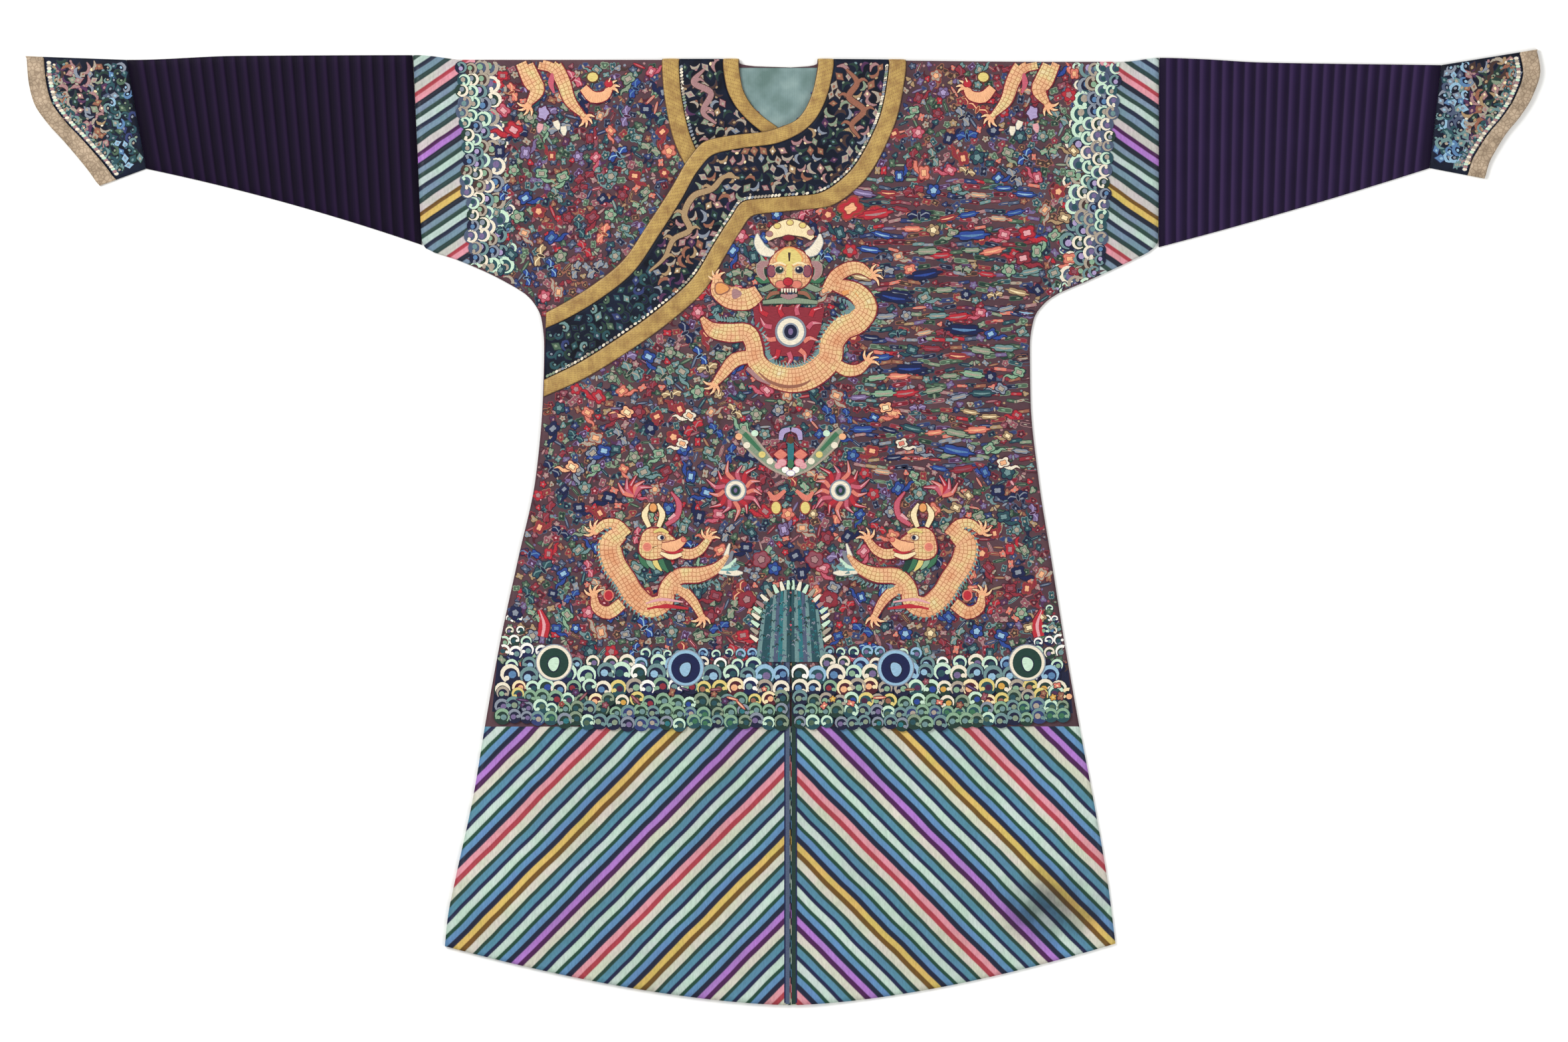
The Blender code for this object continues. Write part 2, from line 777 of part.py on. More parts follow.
def build_sleeve(side, silk):
    """A sleeve's pleated length: knife pleats in its outer face over a plain inside."""
    sleeve = SLEEVES[side]
    end = 1.0 - SEAM / abs(sleeve["cuff_bottom"][0] - sleeve["body_bottom"][0])
    outer = []
    for share, raised in pleat_stations():
        spine = sleeve_line(side, share * end)
        outer.append(tube_ring(spine, tube_heights(spine), 0.0, raised * PLEAT_DEPTH))
    inner = []
    for share in SLEEVE_INSIDE:
        spine = sleeve_line(side, share * end)
        inner.append(tube_ring(spine, tube_heights(spine), -WALL))
    make_tube(f"sleeve_{side}", outer, inner, silk)


def cuff_lines(side):
    """A cuff's sleeve seam and its hand opening, as matching lines from top to bottom."""
    seam = sleeve_line(side, 1.0)
    edge = np.array(CUFF_EDGES[side])
    length = np.concatenate([[0.0], np.cumsum(np.linalg.norm(np.diff(edge, axis=0), axis=1))])
    at = TUBE_SHARES * length[-1]
    edge_x = CENTRE_X + follow(length, edge[:, 0], at)
    edge_y = SHOULDER_Y - follow(length, edge[:, 1], at)
    edge_y[0] -= FOLD_BULGE
    edge_y[-1] += BOTTOM_BULGE
    return seam, np.stack([edge_x, edge_y], axis=1)


def cuff_ring(side, share, back, proud, raised=0.0):
    """A cuff's ring at a share of the way from its seam to a line back from its opening."""
    seam, opening = cuff_lines(side)
    length = np.linalg.norm(opening - seam, axis=1)
    along = share * (1.0 - back / length)
    spine = seam + along[:, None] * (opening - seam)
    heights = tube_heights(spine, CUFF_OPEN * float(along.mean())) + raised
    return tube_ring(spine, heights, proud)


def build_cuff(side, silk, gold):
    """A horse-hoof cuff as a short flattened tube, and the brocade band round its opening."""
    end = CUFF_BAND + SEAM
    outer = [cuff_ring(side, share, end, 0.0) for share in CUFF_STATIONS]
    inner = [cuff_ring(side, share, end, -CUFF_WALL) for share in CUFF_STATIONS]
    make_tube(f"cuff_{side}", outer, inner, silk)
    band = [CUFF_BAND, CUFF_BAND / 2.0, 0.0]
    outer = [cuff_ring(side, 1.0, back, 0.0, CUFF_BAND_RAISED) for back in band]
    inner = [cuff_ring(side, 1.0, back, -CUFF_WALL, CUFF_BAND_RAISED) for back in band]
    make_tube(f"cuff_binding_{side}", outer, inner, gold)


# ---------------------------------------------------------------- materials


def make_material(name, colour, roughness, sheen):
    material = bpy.data.materials.new(name)
    material.use_nodes = True
    shader = material.node_tree.nodes["Principled BSDF"]
    shader.inputs["Base Color"].default_value = (*colour, 1.0)
    shader.inputs["Roughness"].default_value = roughness
    shader.inputs["Metallic"].default_value = 0.0
    shader.inputs["Sheen Weight"].default_value = sheen
    return material


def body_silk():
    return make_material("body_silk", (0.115, 0.062, 0.075), 0.55, 0.3)


def facing_silk():
    return make_material("facing_silk", (0.012, 0.016, 0.030), 0.5, 0.3)


def gold_brocade():
    return make_material("gold_brocade", (0.48, 0.30, 0.07), 0.45, 0.2)


def sleeve_silk():
    return make_material("sleeve_silk", (0.018, 0.011, 0.028), 0.45, 0.4)


def lining_silk():
    return make_material("lining_silk", (0.25, 0.38, 0.44), 0.4, 0.2)


def clear_scene():
    for obj in list(bpy.data.objects):
        bpy.data.objects.remove(obj, do_unlink=True)


def main():
    clear_scene()
    build_body(body_silk())
    build_lining(lining_silk())
    facing = facing_silk()
    gold = gold_brocade()
    make_collar("left", over_top, COLLAR_LEFT, facing, gold)
    make_collar("right", under_top, COLLAR_RIGHT, facing, gold)
    sleeve = sleeve_silk()
    for side in ("left", "right"):
        build_sleeve(side, sleeve)
        build_cuff(side, facing, gold)


main()
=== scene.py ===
# %% [markdown]
# # A silk dragon robe, laid flat
#
# This notebook dresses a flat, front-up silk robe: two loom widths folded over the shoulders,
# an overlap that closes at the wearer's right, a faced collar edged in gold brocade, pleated
# sleeve lengths and flared horse-hoof cuffs. The construction comes in as a fixed frame of
# plain solids. Each one is replaced here by a thin shell of cloth, and the embroidery is then
# drawn flat and laid on the cloth. Left and right are the wearer's.

import math
import random

import bmesh
import bpy
import numpy as np
from mathutils import Matrix, Vector
from mathutils.bvhtree import BVHTree
from mathutils.noise import noise as tone_noise


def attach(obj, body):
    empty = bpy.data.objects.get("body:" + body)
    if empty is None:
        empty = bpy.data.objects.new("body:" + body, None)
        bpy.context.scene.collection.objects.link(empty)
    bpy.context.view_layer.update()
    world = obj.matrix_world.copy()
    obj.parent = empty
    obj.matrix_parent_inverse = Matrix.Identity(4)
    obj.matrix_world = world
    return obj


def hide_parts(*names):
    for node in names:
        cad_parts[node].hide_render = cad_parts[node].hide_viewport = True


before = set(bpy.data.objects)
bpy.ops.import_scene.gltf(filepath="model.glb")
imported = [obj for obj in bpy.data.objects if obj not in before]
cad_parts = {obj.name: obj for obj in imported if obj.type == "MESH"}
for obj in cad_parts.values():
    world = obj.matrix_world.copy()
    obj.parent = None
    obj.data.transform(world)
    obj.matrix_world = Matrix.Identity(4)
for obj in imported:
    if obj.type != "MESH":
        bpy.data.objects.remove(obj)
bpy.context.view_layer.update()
print("pieces of the construction:", ", ".join(sorted(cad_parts)))

# %% [markdown]
# ## Looking straight down
#
# The robe lies on a pale floor and is seen from straight above, so an orthographic camera is
# the natural choice: it has no vanishing point, and one millimetre measures the same all over.
# Its scale is the width that the view takes in.

# %% Camera
VIEW_WIDTH = 2.360
VIEW_CENTRE = (0.0022, 0.00935)
CAMERA_HEIGHT = 3.0

camera_data = bpy.data.cameras.new("camera")
camera_data.type = "ORTHO"
camera_data.ortho_scale = VIEW_WIDTH
camera = bpy.data.objects.new("camera", camera_data)
camera.location = (*VIEW_CENTRE, CAMERA_HEIGHT)
bpy.context.scene.collection.objects.link(camera)
bpy.context.scene.camera = camera

# %% [markdown]
# ## Small helpers
#
# Colours are written as the hex values a painter would pick on a screen. The shader wants
# linear light, so one function turns them. Another adds a node to a material with its settings
# and links in one call, which keeps each recipe short enough to read.


# %% Colour and node helpers
def linear(hexcode):
    """A screen colour such as '#5a4048' as linear red, green, blue and 1."""
    parts = [int(hexcode[i : i + 2], 16) / 255.0 for i in (1, 3, 5)]
    curve = [c / 12.92 if c <= 0.04045 else ((c + 0.055) / 1.055) ** 2.4 for c in parts]
    return (*curve, 1.0)


def add_node(tree, kind, settings=None, **inputs):
    """A new node, with its properties set and its sockets given a number or a link."""
    node = tree.nodes.new(kind)
    for name, value in (settings or {}).items():
        setattr(node, name, value)
    for name, value in inputs.items():
        socket = node.inputs[int(name[1:])] if name[1:].isdigit() else node.inputs[name]
        if isinstance(value, bpy.types.NodeSocket):
            tree.links.new(value, socket)
        else:
            socket.default_value = value
    return node


def new_material(name, roughness, sheen, sheen_tint="#ffffff", gleam=0.2):
    """A Principled material: its node tree and its shader. gleam is the specular level."""
    material = bpy.data.materials.new(name)
    material.use_nodes = True
    tree = material.node_tree
    shader = tree.nodes["Principled BSDF"]
    shader.inputs["Roughness"].default_value = roughness
    shader.inputs["Sheen Weight"].default_value = sheen
    shader.inputs["Sheen Tint"].default_value = linear(sheen_tint)
    shader.inputs["Specular IOR Level"].default_value = gleam
    return material, tree, shader


def ramp(tree, factor, *stops):
    """Colours that blend from one (position, hex) stop to the next."""
    node = add_node(tree, "ShaderNodeValToRGB", Fac=factor)
    band = node.color_ramp.elements
    while len(band) < len(stops):
        band.new(1.0)
    for element, (position, colour) in zip(band, stops):
        element.position = position
        element.color = linear(colour)
    return node.outputs["Color"]


def maths(tree, operation, first, second=0.0, third=0.0):
    settings = {"operation": operation}
    return add_node(tree, "ShaderNodeMath", settings, _0=first, _1=second, _2=third).outputs[0]


def mix(tree, factor, first, second, blend="MIX"):
    """Two colours mixed. A hex string is turned into a colour."""
    one, two = (linear(c) if isinstance(c, str) else c for c in (first, second))
    node = add_node(tree, "ShaderNodeMixRGB", {"blend_type": blend}, _0=factor, _1=one, _2=two)
    return node.outputs["Color"]


def darken(tree, share, colour, factor, *stops):
    """A colour multiplied by a share of a ramp, as wear, weave and shadow do."""
    return mix(tree, share, colour, ramp(tree, factor, *stops), "MULTIPLY")


def noise(tree, vector, scale, detail=2.0, roughness=0.5):
    values = {"Vector": vector, "Scale": scale, "Detail": detail, "Roughness": roughness}
    return add_node(tree, "ShaderNodeTexNoise", **values).outputs["Fac"]


def place_of(tree, scale=(1.0, 1.0, 1.0), turn=0.0, shift=(0.0, 0.0, 0.0)):
    """The point on the piece in metres, scaled and turned by a Mapping node."""
    source = add_node(tree, "ShaderNodeTexCoord").outputs["Object"]
    values = {"Vector": source, "Scale": scale, "Rotation": (0.0, 0.0, turn), "Location": shift}
    return add_node(tree, "ShaderNodeMapping", **values).outputs["Vector"]


def finish(tree, shader, colour, height, depth, strength):
    """Gives the shader its colour, and a relief from a height of 0 to 1, depth metres deep."""
    tree.links.new(colour, shader.inputs["Base Color"])
    node = add_node(tree, "ShaderNodeBump", Height=height, Distance=depth, Strength=strength)
    tree.links.new(node.outputs["Normal"], shader.inputs["Normal"])


# %% [markdown]
# ## The studio
#
# A pale floor and broad soft lights: one large panel high on the robe's right side gives the
# folds and the stitches a gentle side light, a second fills from its left, and a bright even
# world stands in for the white walls of a studio.

# %% Floor and light
FLOOR_SIZE = 12.0
FLOOR_DROP = 0.0002
WALLS = 0.62  # how bright the white walls are


def in_scene(name, data, place=(0.0, 0.0, 0.0)):
    obj = bpy.data.objects.new(name, data)
    obj.location = place
    bpy.context.scene.collection.objects.link(obj)
    return obj


floor_sheet = bmesh.new()
bmesh.ops.create_grid(floor_sheet, x_segments=1, y_segments=1, size=FLOOR_SIZE / 2.0)
floor_mesh = bpy.data.meshes.new("floor")
floor_sheet.to_mesh(floor_mesh)
floor_sheet.free()
floor_mesh.transform(Matrix.Translation((0.0, 0.0, -FLOOR_DROP)))
floor = in_scene("floor", floor_mesh)
floor_paint, _, floor_shader = new_material("painted_floor", 0.9, 0.0, gleam=0.5)
floor_shader.inputs["Base Color"].default_value = linear("#f7f7f5")
floor_mesh.materials.append(floor_paint)


def soft_light(name, place, width, watts):
    """A square panel light at place, turned to face the robe."""
    data = bpy.data.lights.new(name, "AREA")
    data.size = width
    data.energy = watts
    light = in_scene(name, data, place)
    light.rotation_euler = (-Vector(place)).to_track_quat("-Z", "Y").to_euler()


soft_light("key_light", (-3.2, 2.6, 4.2), 2.6, 230.0)
soft_light("fill_light", (3.4, -1.6, 4.0), 3.0, 90.0)

world = bpy.data.worlds.new("studio")
world.use_nodes = True
world.node_tree.nodes["Background"].inputs["Color"].default_value = (1.0, 1.0, 1.0, 1.0)
world.node_tree.nodes["Background"].inputs["Strength"].default_value = WALLS
bpy.context.scene.world = world
bpy.context.scene.view_settings.view_transform = "Standard"

# %% [markdown]
# ## The cut
#
# Everything is placed by two distances on the cloth: *across*, from the centre seam towards the
# wearer's left, and *below*, down from the fold over the shoulders. The tables hold the cut's
# outline in a few rows, in millimetres, and a smooth curve runs through them, so the shells
# made here have the same edges as the construction. The other sizes are in metres.


# %% Sizes of the cut
def table(columns, *rows):
    """Rows of millimetres as named columns of metres."""
    return dict(zip(columns.split(), np.array(rows, float).T / 1000.0))


CENTRE_X = 0.0122
SHOULDER_Y = 0.70335
WALL = 0.0016
FACING_WALL = 0.0010
BAND_WALL = 0.0015
SEAM = 0.0003
PUFF = 0.0022  # the air between layers, and how far in from an edge it grows
PUFF_REACH = 0.055
LAYER_PUFF = 0.0008
TRIM_LIFT = 0.0006
FOLD_BULGE = 0.0030
UNDER_EDGE = 0.010
SLIT_TOP = 0.788
SLIT_HALF = 0.0015
HEM_CENTRE = 1.4225
SKIRT_START = 1.10
HEM_POWER = 1.6
HEM_RISE = {"left": 0.093, "right": 0.089}
HEM_HALF = {"left": 0.490, "right": 0.521}
SIDE_EDGE = table(
    "below right left",
    (0, 568, 554), (150, 561, 554), (272, 555, 553), (284, 549, 546), (300, 504, 517),
    (330, 437, 453), (360, 391, 389), (390, 375, 366), (430, 371, 360), (510, 373, 361),
    (630, 384, 373), (750, 410, 392), (870, 436, 411), (990, 458, 432), (1110, 478, 455),
    (1230, 504, 476), (1290, 516, 484), (1340, 521, 490),
)
TOP_EDGE = table(
    "across above",
    (-1150, 6), (-1060, 0), (-990, 0), (-830, 6), (-560, 7), (-490, 0), (0, 0),
    (400, -3), (500, -3), (556, 3), (620, 1), (710, -4), (980, -8),
)
TOP_REACH = 0.15
COLLAR_COLUMNS = "edge_across edge_below far_across far_below"
COLLAR_LEFT = table(
    COLLAR_COLUMNS,
    (0.2, -11.5, 0.2, -145), (20, -10.5, 108, -115), (34, -8.5, 160, -60), (40, -6, 172, -22),
    (41, 6, 174, 6), (35, 40, 170, 40), (23, 72, 162, 80), (8, 90.5, 145, 125),
    (-10, 99, 110, 183), (-40, 108, 53, 222), (-85, 113, -5, 228), (-128, 122, -55, 234),
    (-152, 146, -78, 262), (-180, 193, -100, 298), (-215, 247, -128, 345),
    (-253, 302, -180, 393), (-300, 340, -250, 443), (-340, 365, -315, 482),
    (-368, 380, -371.5, 507),
)
COLLAR_RIGHT = table(
    COLLAR_COLUMNS,
    (-0.2, -11.5, -0.2, -145), (-35, -11, -120, -120), (-65, -8.5, -176, -60),
    (-77, -6, -192, -22), (-78, 6, -194, 6), (-73, 40, -192, 40), (-61, 65, -187, 75),
    (-42, 85, -178, 115), (-18, 103, -158, 160), (0, 125, -130, 195),
)
BINDING_WIDTH = 0.024
BAND_WIDTH = 0.026
BACK_NECK = 0.0115
LEFT_NECK = 0.0960
RIGHT_NECK = 0.125
UNDER_EDGE_FULL = 0.150
BACK_LIFT = TRIM_LIFT + BAND_WALL  # the collar's back lies under the robe's back and lifts it
BACK_LIFT_CENTRE = -0.010
BACK_LIFT_REACH = (0.215, 0.175)
BACK_LIFT_END = 1.45
CROSSING = ((0.000, 0.112), (-0.145, 0.160))  # where the overlap crosses the right collar
CROSSING_LIFT = 0.0024
CROSSING_REACH = (0.030, 0.120)
SETTLE = (0.020, 0.120)  # across: the left front comes down to the back's level here
CROSS_START = (0.010, 0.085)  # below: the left front starts to rise here


# %% Curves through the tables
def smoothstep(low, high, value):
    t = np.clip((value - low) / (high - low), 0.0, 1.0)
    return t * t * (3.0 - 2.0 * t)


def follow(places, values, at):
    """A smooth curve through a table's rows that never overshoots them."""
    places, values = np.asarray(places, float), np.asarray(values, float)
    at = np.clip(np.asarray(at, float), places[0], places[-1])
    step = np.diff(places)
    slope = np.diff(values) / step
    product = slope[:-1] * slope[1:]
    total = slope[:-1] + slope[1:]
    inner = np.where(product > 0.0, 2.0 * product / np.where(total == 0.0, 1.0, total), 0.0)
    tangent = np.concatenate([slope[:1], inner, slope[-1:]])
    i = np.clip(np.searchsorted(places, at, side="right") - 1, 0, len(step) - 1)
    t = (at - places[i]) / step[i]
    back = (1.0 - t) ** 2
    start = (1.0 + 2.0 * t) * back * values[i] + t * back * step[i] * tangent[i]
    end = t * t * (3.0 - 2.0 * t) * values[i + 1] + t * t * (t - 1.0) * step[i] * tangent[i + 1]
    return start + end


def side_half(side, below):
    return follow(SIDE_EDGE["below"], SIDE_EDGE[side], below)


def hem_below(across):
    across = np.asarray(across, float)
    rise, half = (np.where(across > 0.0, v["left"], v["right"]) for v in (HEM_RISE, HEM_HALF))
    return HEM_CENTRE - rise * (np.abs(across) / half) ** HEM_POWER


def row_below(nominal, across):
    """A grid row's depth: level above SKIRT_START, bent into the hem's curve below it."""
    share = np.maximum(nominal - SKIRT_START, 0.0) / (HEM_CENTRE - SKIRT_START)
    bent = SKIRT_START + share * (hem_below(across) - SKIRT_START)
    return np.where(nominal > SKIRT_START, bent, nominal)


def sign_of(side):
    return 1.0 if side == "left" else -1.0


def row_outer(side, nominal):
    """How far across a grid row ends, found in a few steps, because its depth depends on it."""
    outer = sign_of(side) * side_half(side, nominal)
    for _ in range(3):
        outer = sign_of(side) * side_half(side, row_below(nominal, outer))
    return float(outer)


def top_line(across, below):
    wave = follow(TOP_EDGE["across"], TOP_EDGE["above"], across)
    return wave * (1.0 - smoothstep(0.0, TOP_REACH, below))


def to_segment(across, below, start, end):
    """The distance to a straight line between two places, and the share along it."""
    run = np.subtract(end, start)
    along = ((across - start[0]) * run[0] + (below - start[1]) * run[1]) / float(run @ run)
    along = np.clip(along, 0.0, 1.0)
    away = np.hypot(across - start[0] - along * run[0], below - start[1] - along * run[1])
    return away, along


# %% [markdown]
# ## Creases
#
# Silk that has been folded in a chest keeps soft lines, and a robe laid down by hand puckers a
# little at the armpits and along the skirt. Each crease is a ridge or a trough along a straight
# line with its own height and width, placed one by one. The nine broad ones are in the
# construction too, and the fine ones are only here.

# %% Table of creases, in millimetres, and their heights in hundredths of one
# Each row gives across and below at the crease's two ends, then its height and its width.
BROAD_CREASES = (
    (375, 660, 330, 1330, 160, 48), (215, 900, 260, 1380, 130, 45),
    (415, 1060, 445, 1300, 120, 40), (-330, 700, -390, 1320, 150, 50),
    (-150, 980, -190, 1400, 120, 45), (345, 380, 230, 260, 150, 42),
    (-330, 400, -235, 275, 140, 45), (420, 60, 440, 250, 100, 45),
    (-430, 50, -450, 260, 100, 45),
)
FINE_CREASES = (
    (360, 405, 250, 330, 130, 12), (352, 440, 270, 400, -90, 10), (385, 372, 330, 290, -100, 11),
    (355, 500, 300, 620, 90, 14), (-365, 560, -310, 660, 100, 14), (-380, 378, -345, 300, 110, 12),
    (-372, 640, -290, 760, -80, 16), (438, 1190, 455, 1290, 150, 12),
    (405, 1215, 424, 1300, -120, 11), (330, 1270, 318, 1372, 140, 13),
    (296, 1292, 290, 1386, -100, 10), (150, 1120, 172, 1395, 90, 18),
    (60, 1180, 78, 1410, -70, 16), (-60, 1200, -85, 1405, 90, 16),
    (-240, 1090, -262, 1370, 100, 18), (-300, 1180, -318, 1350, -80, 14),
    (-455, 1120, -480, 1315, 120, 14), (-425, 1200, -440, 1330, -90, 12),
    (120, 620, 150, 860, 70, 22), (-130, 560, -160, 820, 70, 22), (260, 540, 295, 760, -60, 18),
    (300, 110, 330, 300, 70, 20), (-290, 60, -330, 210, 70, 20), (-505, 40, -515, 240, 60, 14),
    (500, 40, 508, 250, 60, 14),
)
CREASE_UNITS = (1000.0, 1000.0, 1000.0, 1000.0, 100000.0, 1000.0)


def crease_height(rows, across, below):
    """The summed height of some creases. The fine ones die away towards their two ends."""
    height = np.zeros(np.broadcast(across, below).shape)
    for row in rows:
        across_1, below_1, across_2, below_2, rise, width = np.divide(row, CREASE_UNITS)
        away, along = to_segment(across, below, (across_1, below_1), (across_2, below_2))
        fade = 1.0 if rows is BROAD_CREASES else np.sin(math.pi * along) ** 0.7
        height += rise * fade * np.exp(-((away / width) ** 2))
    return height


# %% [markdown]
# ## The layers
#
# The back lies on the floor, the right front lies on the back, and the overlap lies on that.
# Each layer is the one beneath it plus a wall of cloth and a little air, which grows away from
# the edges where the layers are sewn together. These functions give that height anywhere.


# %% Heights of the layers
def garment_edge():
    """The body's side edges and hem, as one line from sleeve to sleeve."""
    depth = np.concatenate([np.linspace(0.272, 0.43, 14), np.linspace(0.47, 1.334, 16)])
    down = np.stack([-side_half("right", depth), depth], axis=1)
    across = np.linspace(-HEM_HALF["right"], HEM_HALF["left"], 26)[1:-1]
    hem = np.stack([across, hem_below(across)], axis=1)
    up = np.stack([side_half("left", depth), depth], axis=1)[::-1]
    return np.concatenate([down, hem, up])


EDGE = garment_edge()
FAR_INSIDE = 10.0


def edge_rise(across, below):
    """0 at the garment's edge, growing to 1 well inside it."""
    nearest = np.full(np.broadcast(across, below).shape, FAR_INSIDE)
    for start, end in zip(EDGE[:-1], EDGE[1:]):
        nearest = np.minimum(nearest, to_segment(across, below, start, end)[0])
    return 1.0 - np.exp(-nearest / PUFF_REACH)


def back_bottom(across, below):
    """The underside of the back: on the floor, but for the collar's back beneath it."""
    reach = np.hypot((across - BACK_LIFT_CENTRE) / BACK_LIFT_REACH[0], below / BACK_LIFT_REACH[1])
    return BACK_LIFT * (1.0 - smoothstep(1.0, BACK_LIFT_END, reach))


def under_top(across, below):
    """The outer face of the right front."""
    rise = edge_rise(across, below)
    folds = crease_height(BROAD_CREASES, across, below)
    folds += np.maximum(crease_height(FINE_CREASES, across, below), -0.5 * PUFF)
    return back_bottom(across, below) + 2.0 * WALL + SEAM + (PUFF + folds) * rise


def over_top(across, below):
    """The outer face of the overlap and of the left front, which settles towards the left."""
    away, _ = to_segment(across, below, *CROSSING)
    crossing = CROSSING_LIFT * (1.0 - smoothstep(*CROSSING_REACH, away))
    lift = WALL + SEAM + LAYER_PUFF * edge_rise(across, below) + crossing
    settle = 1.0 - smoothstep(*SETTLE, across)
    return under_top(across, below) + lift * settle * smoothstep(*CROSS_START, below)


BACK_CLEAR = 0.0006  # the room under the back for its stitches, full this far from the fold
BACK_CLEAR_FULL = 0.030


def lay(top, across, place, out=0.0):
    """Points of one row: place is ("back", depth), ("fold", turn) or ("front", depth)."""
    kind, value = place
    x = CENTRE_X + across
    if kind == "fold":
        angle = value * math.pi / 2.0
        below = np.full(np.shape(across), FOLD_BULGE)
        high = top(across, below)
        low = back_bottom(across, below)
        half = (high - low) / 2.0 + out
        y = SHOULDER_Y + top_line(across, below) - below + (FOLD_BULGE + out) * np.cos(angle)
        z = (high + low) / 2.0 + half * np.sin(angle)
        return np.stack(np.broadcast_arrays(x, y, z), axis=-1)
    below = row_below(value, across)
    y = SHOULDER_Y + top_line(across, below) - below
    if kind == "back":
        clear = BACK_CLEAR * smoothstep(FOLD_BULGE, BACK_CLEAR_FULL, below) * float(out == 0.0)
        folds = np.abs(crease_height(FINE_CREASES, across, below)) * 0.4 * clear / BACK_CLEAR
        z = back_bottom(across, below) - out + clear + folds * edge_rise(across, below)
    else:
        z = top(across, below) + out
    return np.stack(np.broadcast_arrays(x, y, z), axis=-1)


# %% [markdown]
# ## A sheet of cloth
#
# Every cloth piece starts as a flat grid from `create_grid`, whose points are then moved onto
# their places. A Solidify modifier gives it a wall on the inner side. It keeps a map in metres
# along and across the cloth, for patterns that follow it. The sheet's own area, which is what a
# cutter would mark out, is summed but not kept.


# %% Sheet builder
WALL_SHOWN = 0.0009
SAME_PLACE = 1e-6


def join_scene(name, bm, materials):
    """A mesh object in the scene from a bmesh, smooth, with its materials."""
    mesh = bpy.data.meshes.new(name)
    bm.to_mesh(mesh)
    bm.free()
    for material in materials:
        mesh.materials.append(material)
    mesh.shade_smooth()
    return in_scene(name, mesh)


def settle_piece(obj, node, slot):
    """Parents a piece to the robe's root empty, and hides the plain solid that it stands for."""
    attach(obj, "root")
    if node:
        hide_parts(node)


def shaped_grid(rows, marks=None):
    """A grid of quads moved onto rows of points, facing up where it is highest.

    marks gives each row a number, which materials can read as the attribute "mark"."""
    rows = np.asarray(rows, float)
    bm = bmesh.new()
    layer = bm.loops.layers.uv.new("cloth")
    mark = bm.verts.layers.float.new("mark") if marks is not None else None
    count, width = rows.shape[:2]
    bmesh.ops.create_grid(bm, x_segments=width - 1, y_segments=count - 1, size=0.5)
    along = np.cumsum(np.linalg.norm(np.diff(rows, axis=0, prepend=rows[:1]), axis=2), axis=0)
    across = np.cumsum(np.linalg.norm(np.diff(rows, axis=1, prepend=rows[:, :1]), axis=2), axis=1)
    maps = np.stack([across, along], axis=-1).reshape(-1, 2)
    for number, (vert, place) in enumerate(zip(bm.verts, rows.reshape(-1, 3))):
        vert.co = place
        if mark:
            vert[mark] = marks[number // width]
    for face in bm.faces:
        for loop in face.loops:
            loop[layer].uv = maps[loop.vert.index]
    bm.normal_update()
    highest = max(bm.faces, key=lambda face: face.calc_center_median().z)
    if highest.normal.z < 0.0:
        bmesh.ops.reverse_faces(bm, faces=bm.faces)
    return bm


def make_sheet(name, rows, materials, node, slot, wall=WALL_SHOWN, region=None, **more):
    """A piece of cloth through rows of points.

    region gives each face its material's number. weld joins a tube where its rings close."""
    bm = shaped_grid(rows, more.get("marks"))
    if more.get("weld"):
        bmesh.ops.remove_doubles(bm, verts=bm.verts, dist=SAME_PLACE)
    if region:
        for face in bm.faces:
            face.material_index = region(face.calc_center_median())
    sum(face.calc_area() for face in bm.faces)
    obj = join_scene(name, bm, materials)
    shell = obj.modifiers.new("wall", "SOLIDIFY")
    shell.thickness = wall
    shell.offset = -1.0
    settle_piece(obj, node, slot)
    return obj


# %% [markdown]
# ## Aubergine satin
#
# The ground is a **warp-faced silk satin**: long floats of silk lie side by side, so it is
# smooth, with a soft gleam rather than a sparkle, and it darkens and reddens a little with age.
# A Principled shader with a middling roughness and a trace of sheen gives that, a very fine
# wave stands in for the floats, and slow noise for the fading. The floats are 0.25 mm apart on
# real satin and are drawn at 1.2 mm, so that they can be seen at all.

# %% Satin ground
FLOAT_SPACING = 0.0012
WAVE_UNIT = 3.183  # a Wave texture of scale 1 has this many bands a metre


def woven_height(tree, spacing=FLOAT_SPACING, turn=0.6):
    """A twill-like ripple of fine waves, as a height between 0 and 1."""
    values = {"Scale": 1.0 / spacing / WAVE_UNIT, "Distortion": 0.4, "Detail": 1.0}
    kind = {"wave_type": "BANDS", "bands_direction": "X"}
    place = place_of(tree, turn=turn)
    return add_node(tree, "ShaderNodeTexWave", kind, Vector=place, **values).outputs["Fac"]


def satin_ground():
    material, tree, shader = new_material("silk_satin_aubergine", 0.5, 0.06, "#d8b0b0")
    here = place_of(tree)
    aged = noise(tree, here, 9.0, 4.0, 0.6)
    shade = ramp(tree, aged, (0.30, "#443038"), (0.50, "#523841"), (0.70, "#5e4248"))
    fleck = noise(tree, here, 210.0, 3.0, 0.7)
    colour = darken(tree, 0.55, shade, fleck, (0.0, "#b89c94"), (1.0, "#ffffff"))
    finish(tree, shader, colour, woven_height(tree), 0.00015, 0.5)
    return material


# %% [markdown]
# ## Standing water
#
# The hem of such a robe is filled with slanting lines of colour, the "standing water" out of
# which the waves and mountains rise. They are worked as rows of floss laid along each line, a
# light one and a dark one for the accents, in red, gold and violet by turns, and pale lines,
# greens and blues between. One ramp holds the lines of a repeat for each accent, and the
# repeat's number picks among the three. The relief of the laid rows comes from the same
# distance that picks the colour.

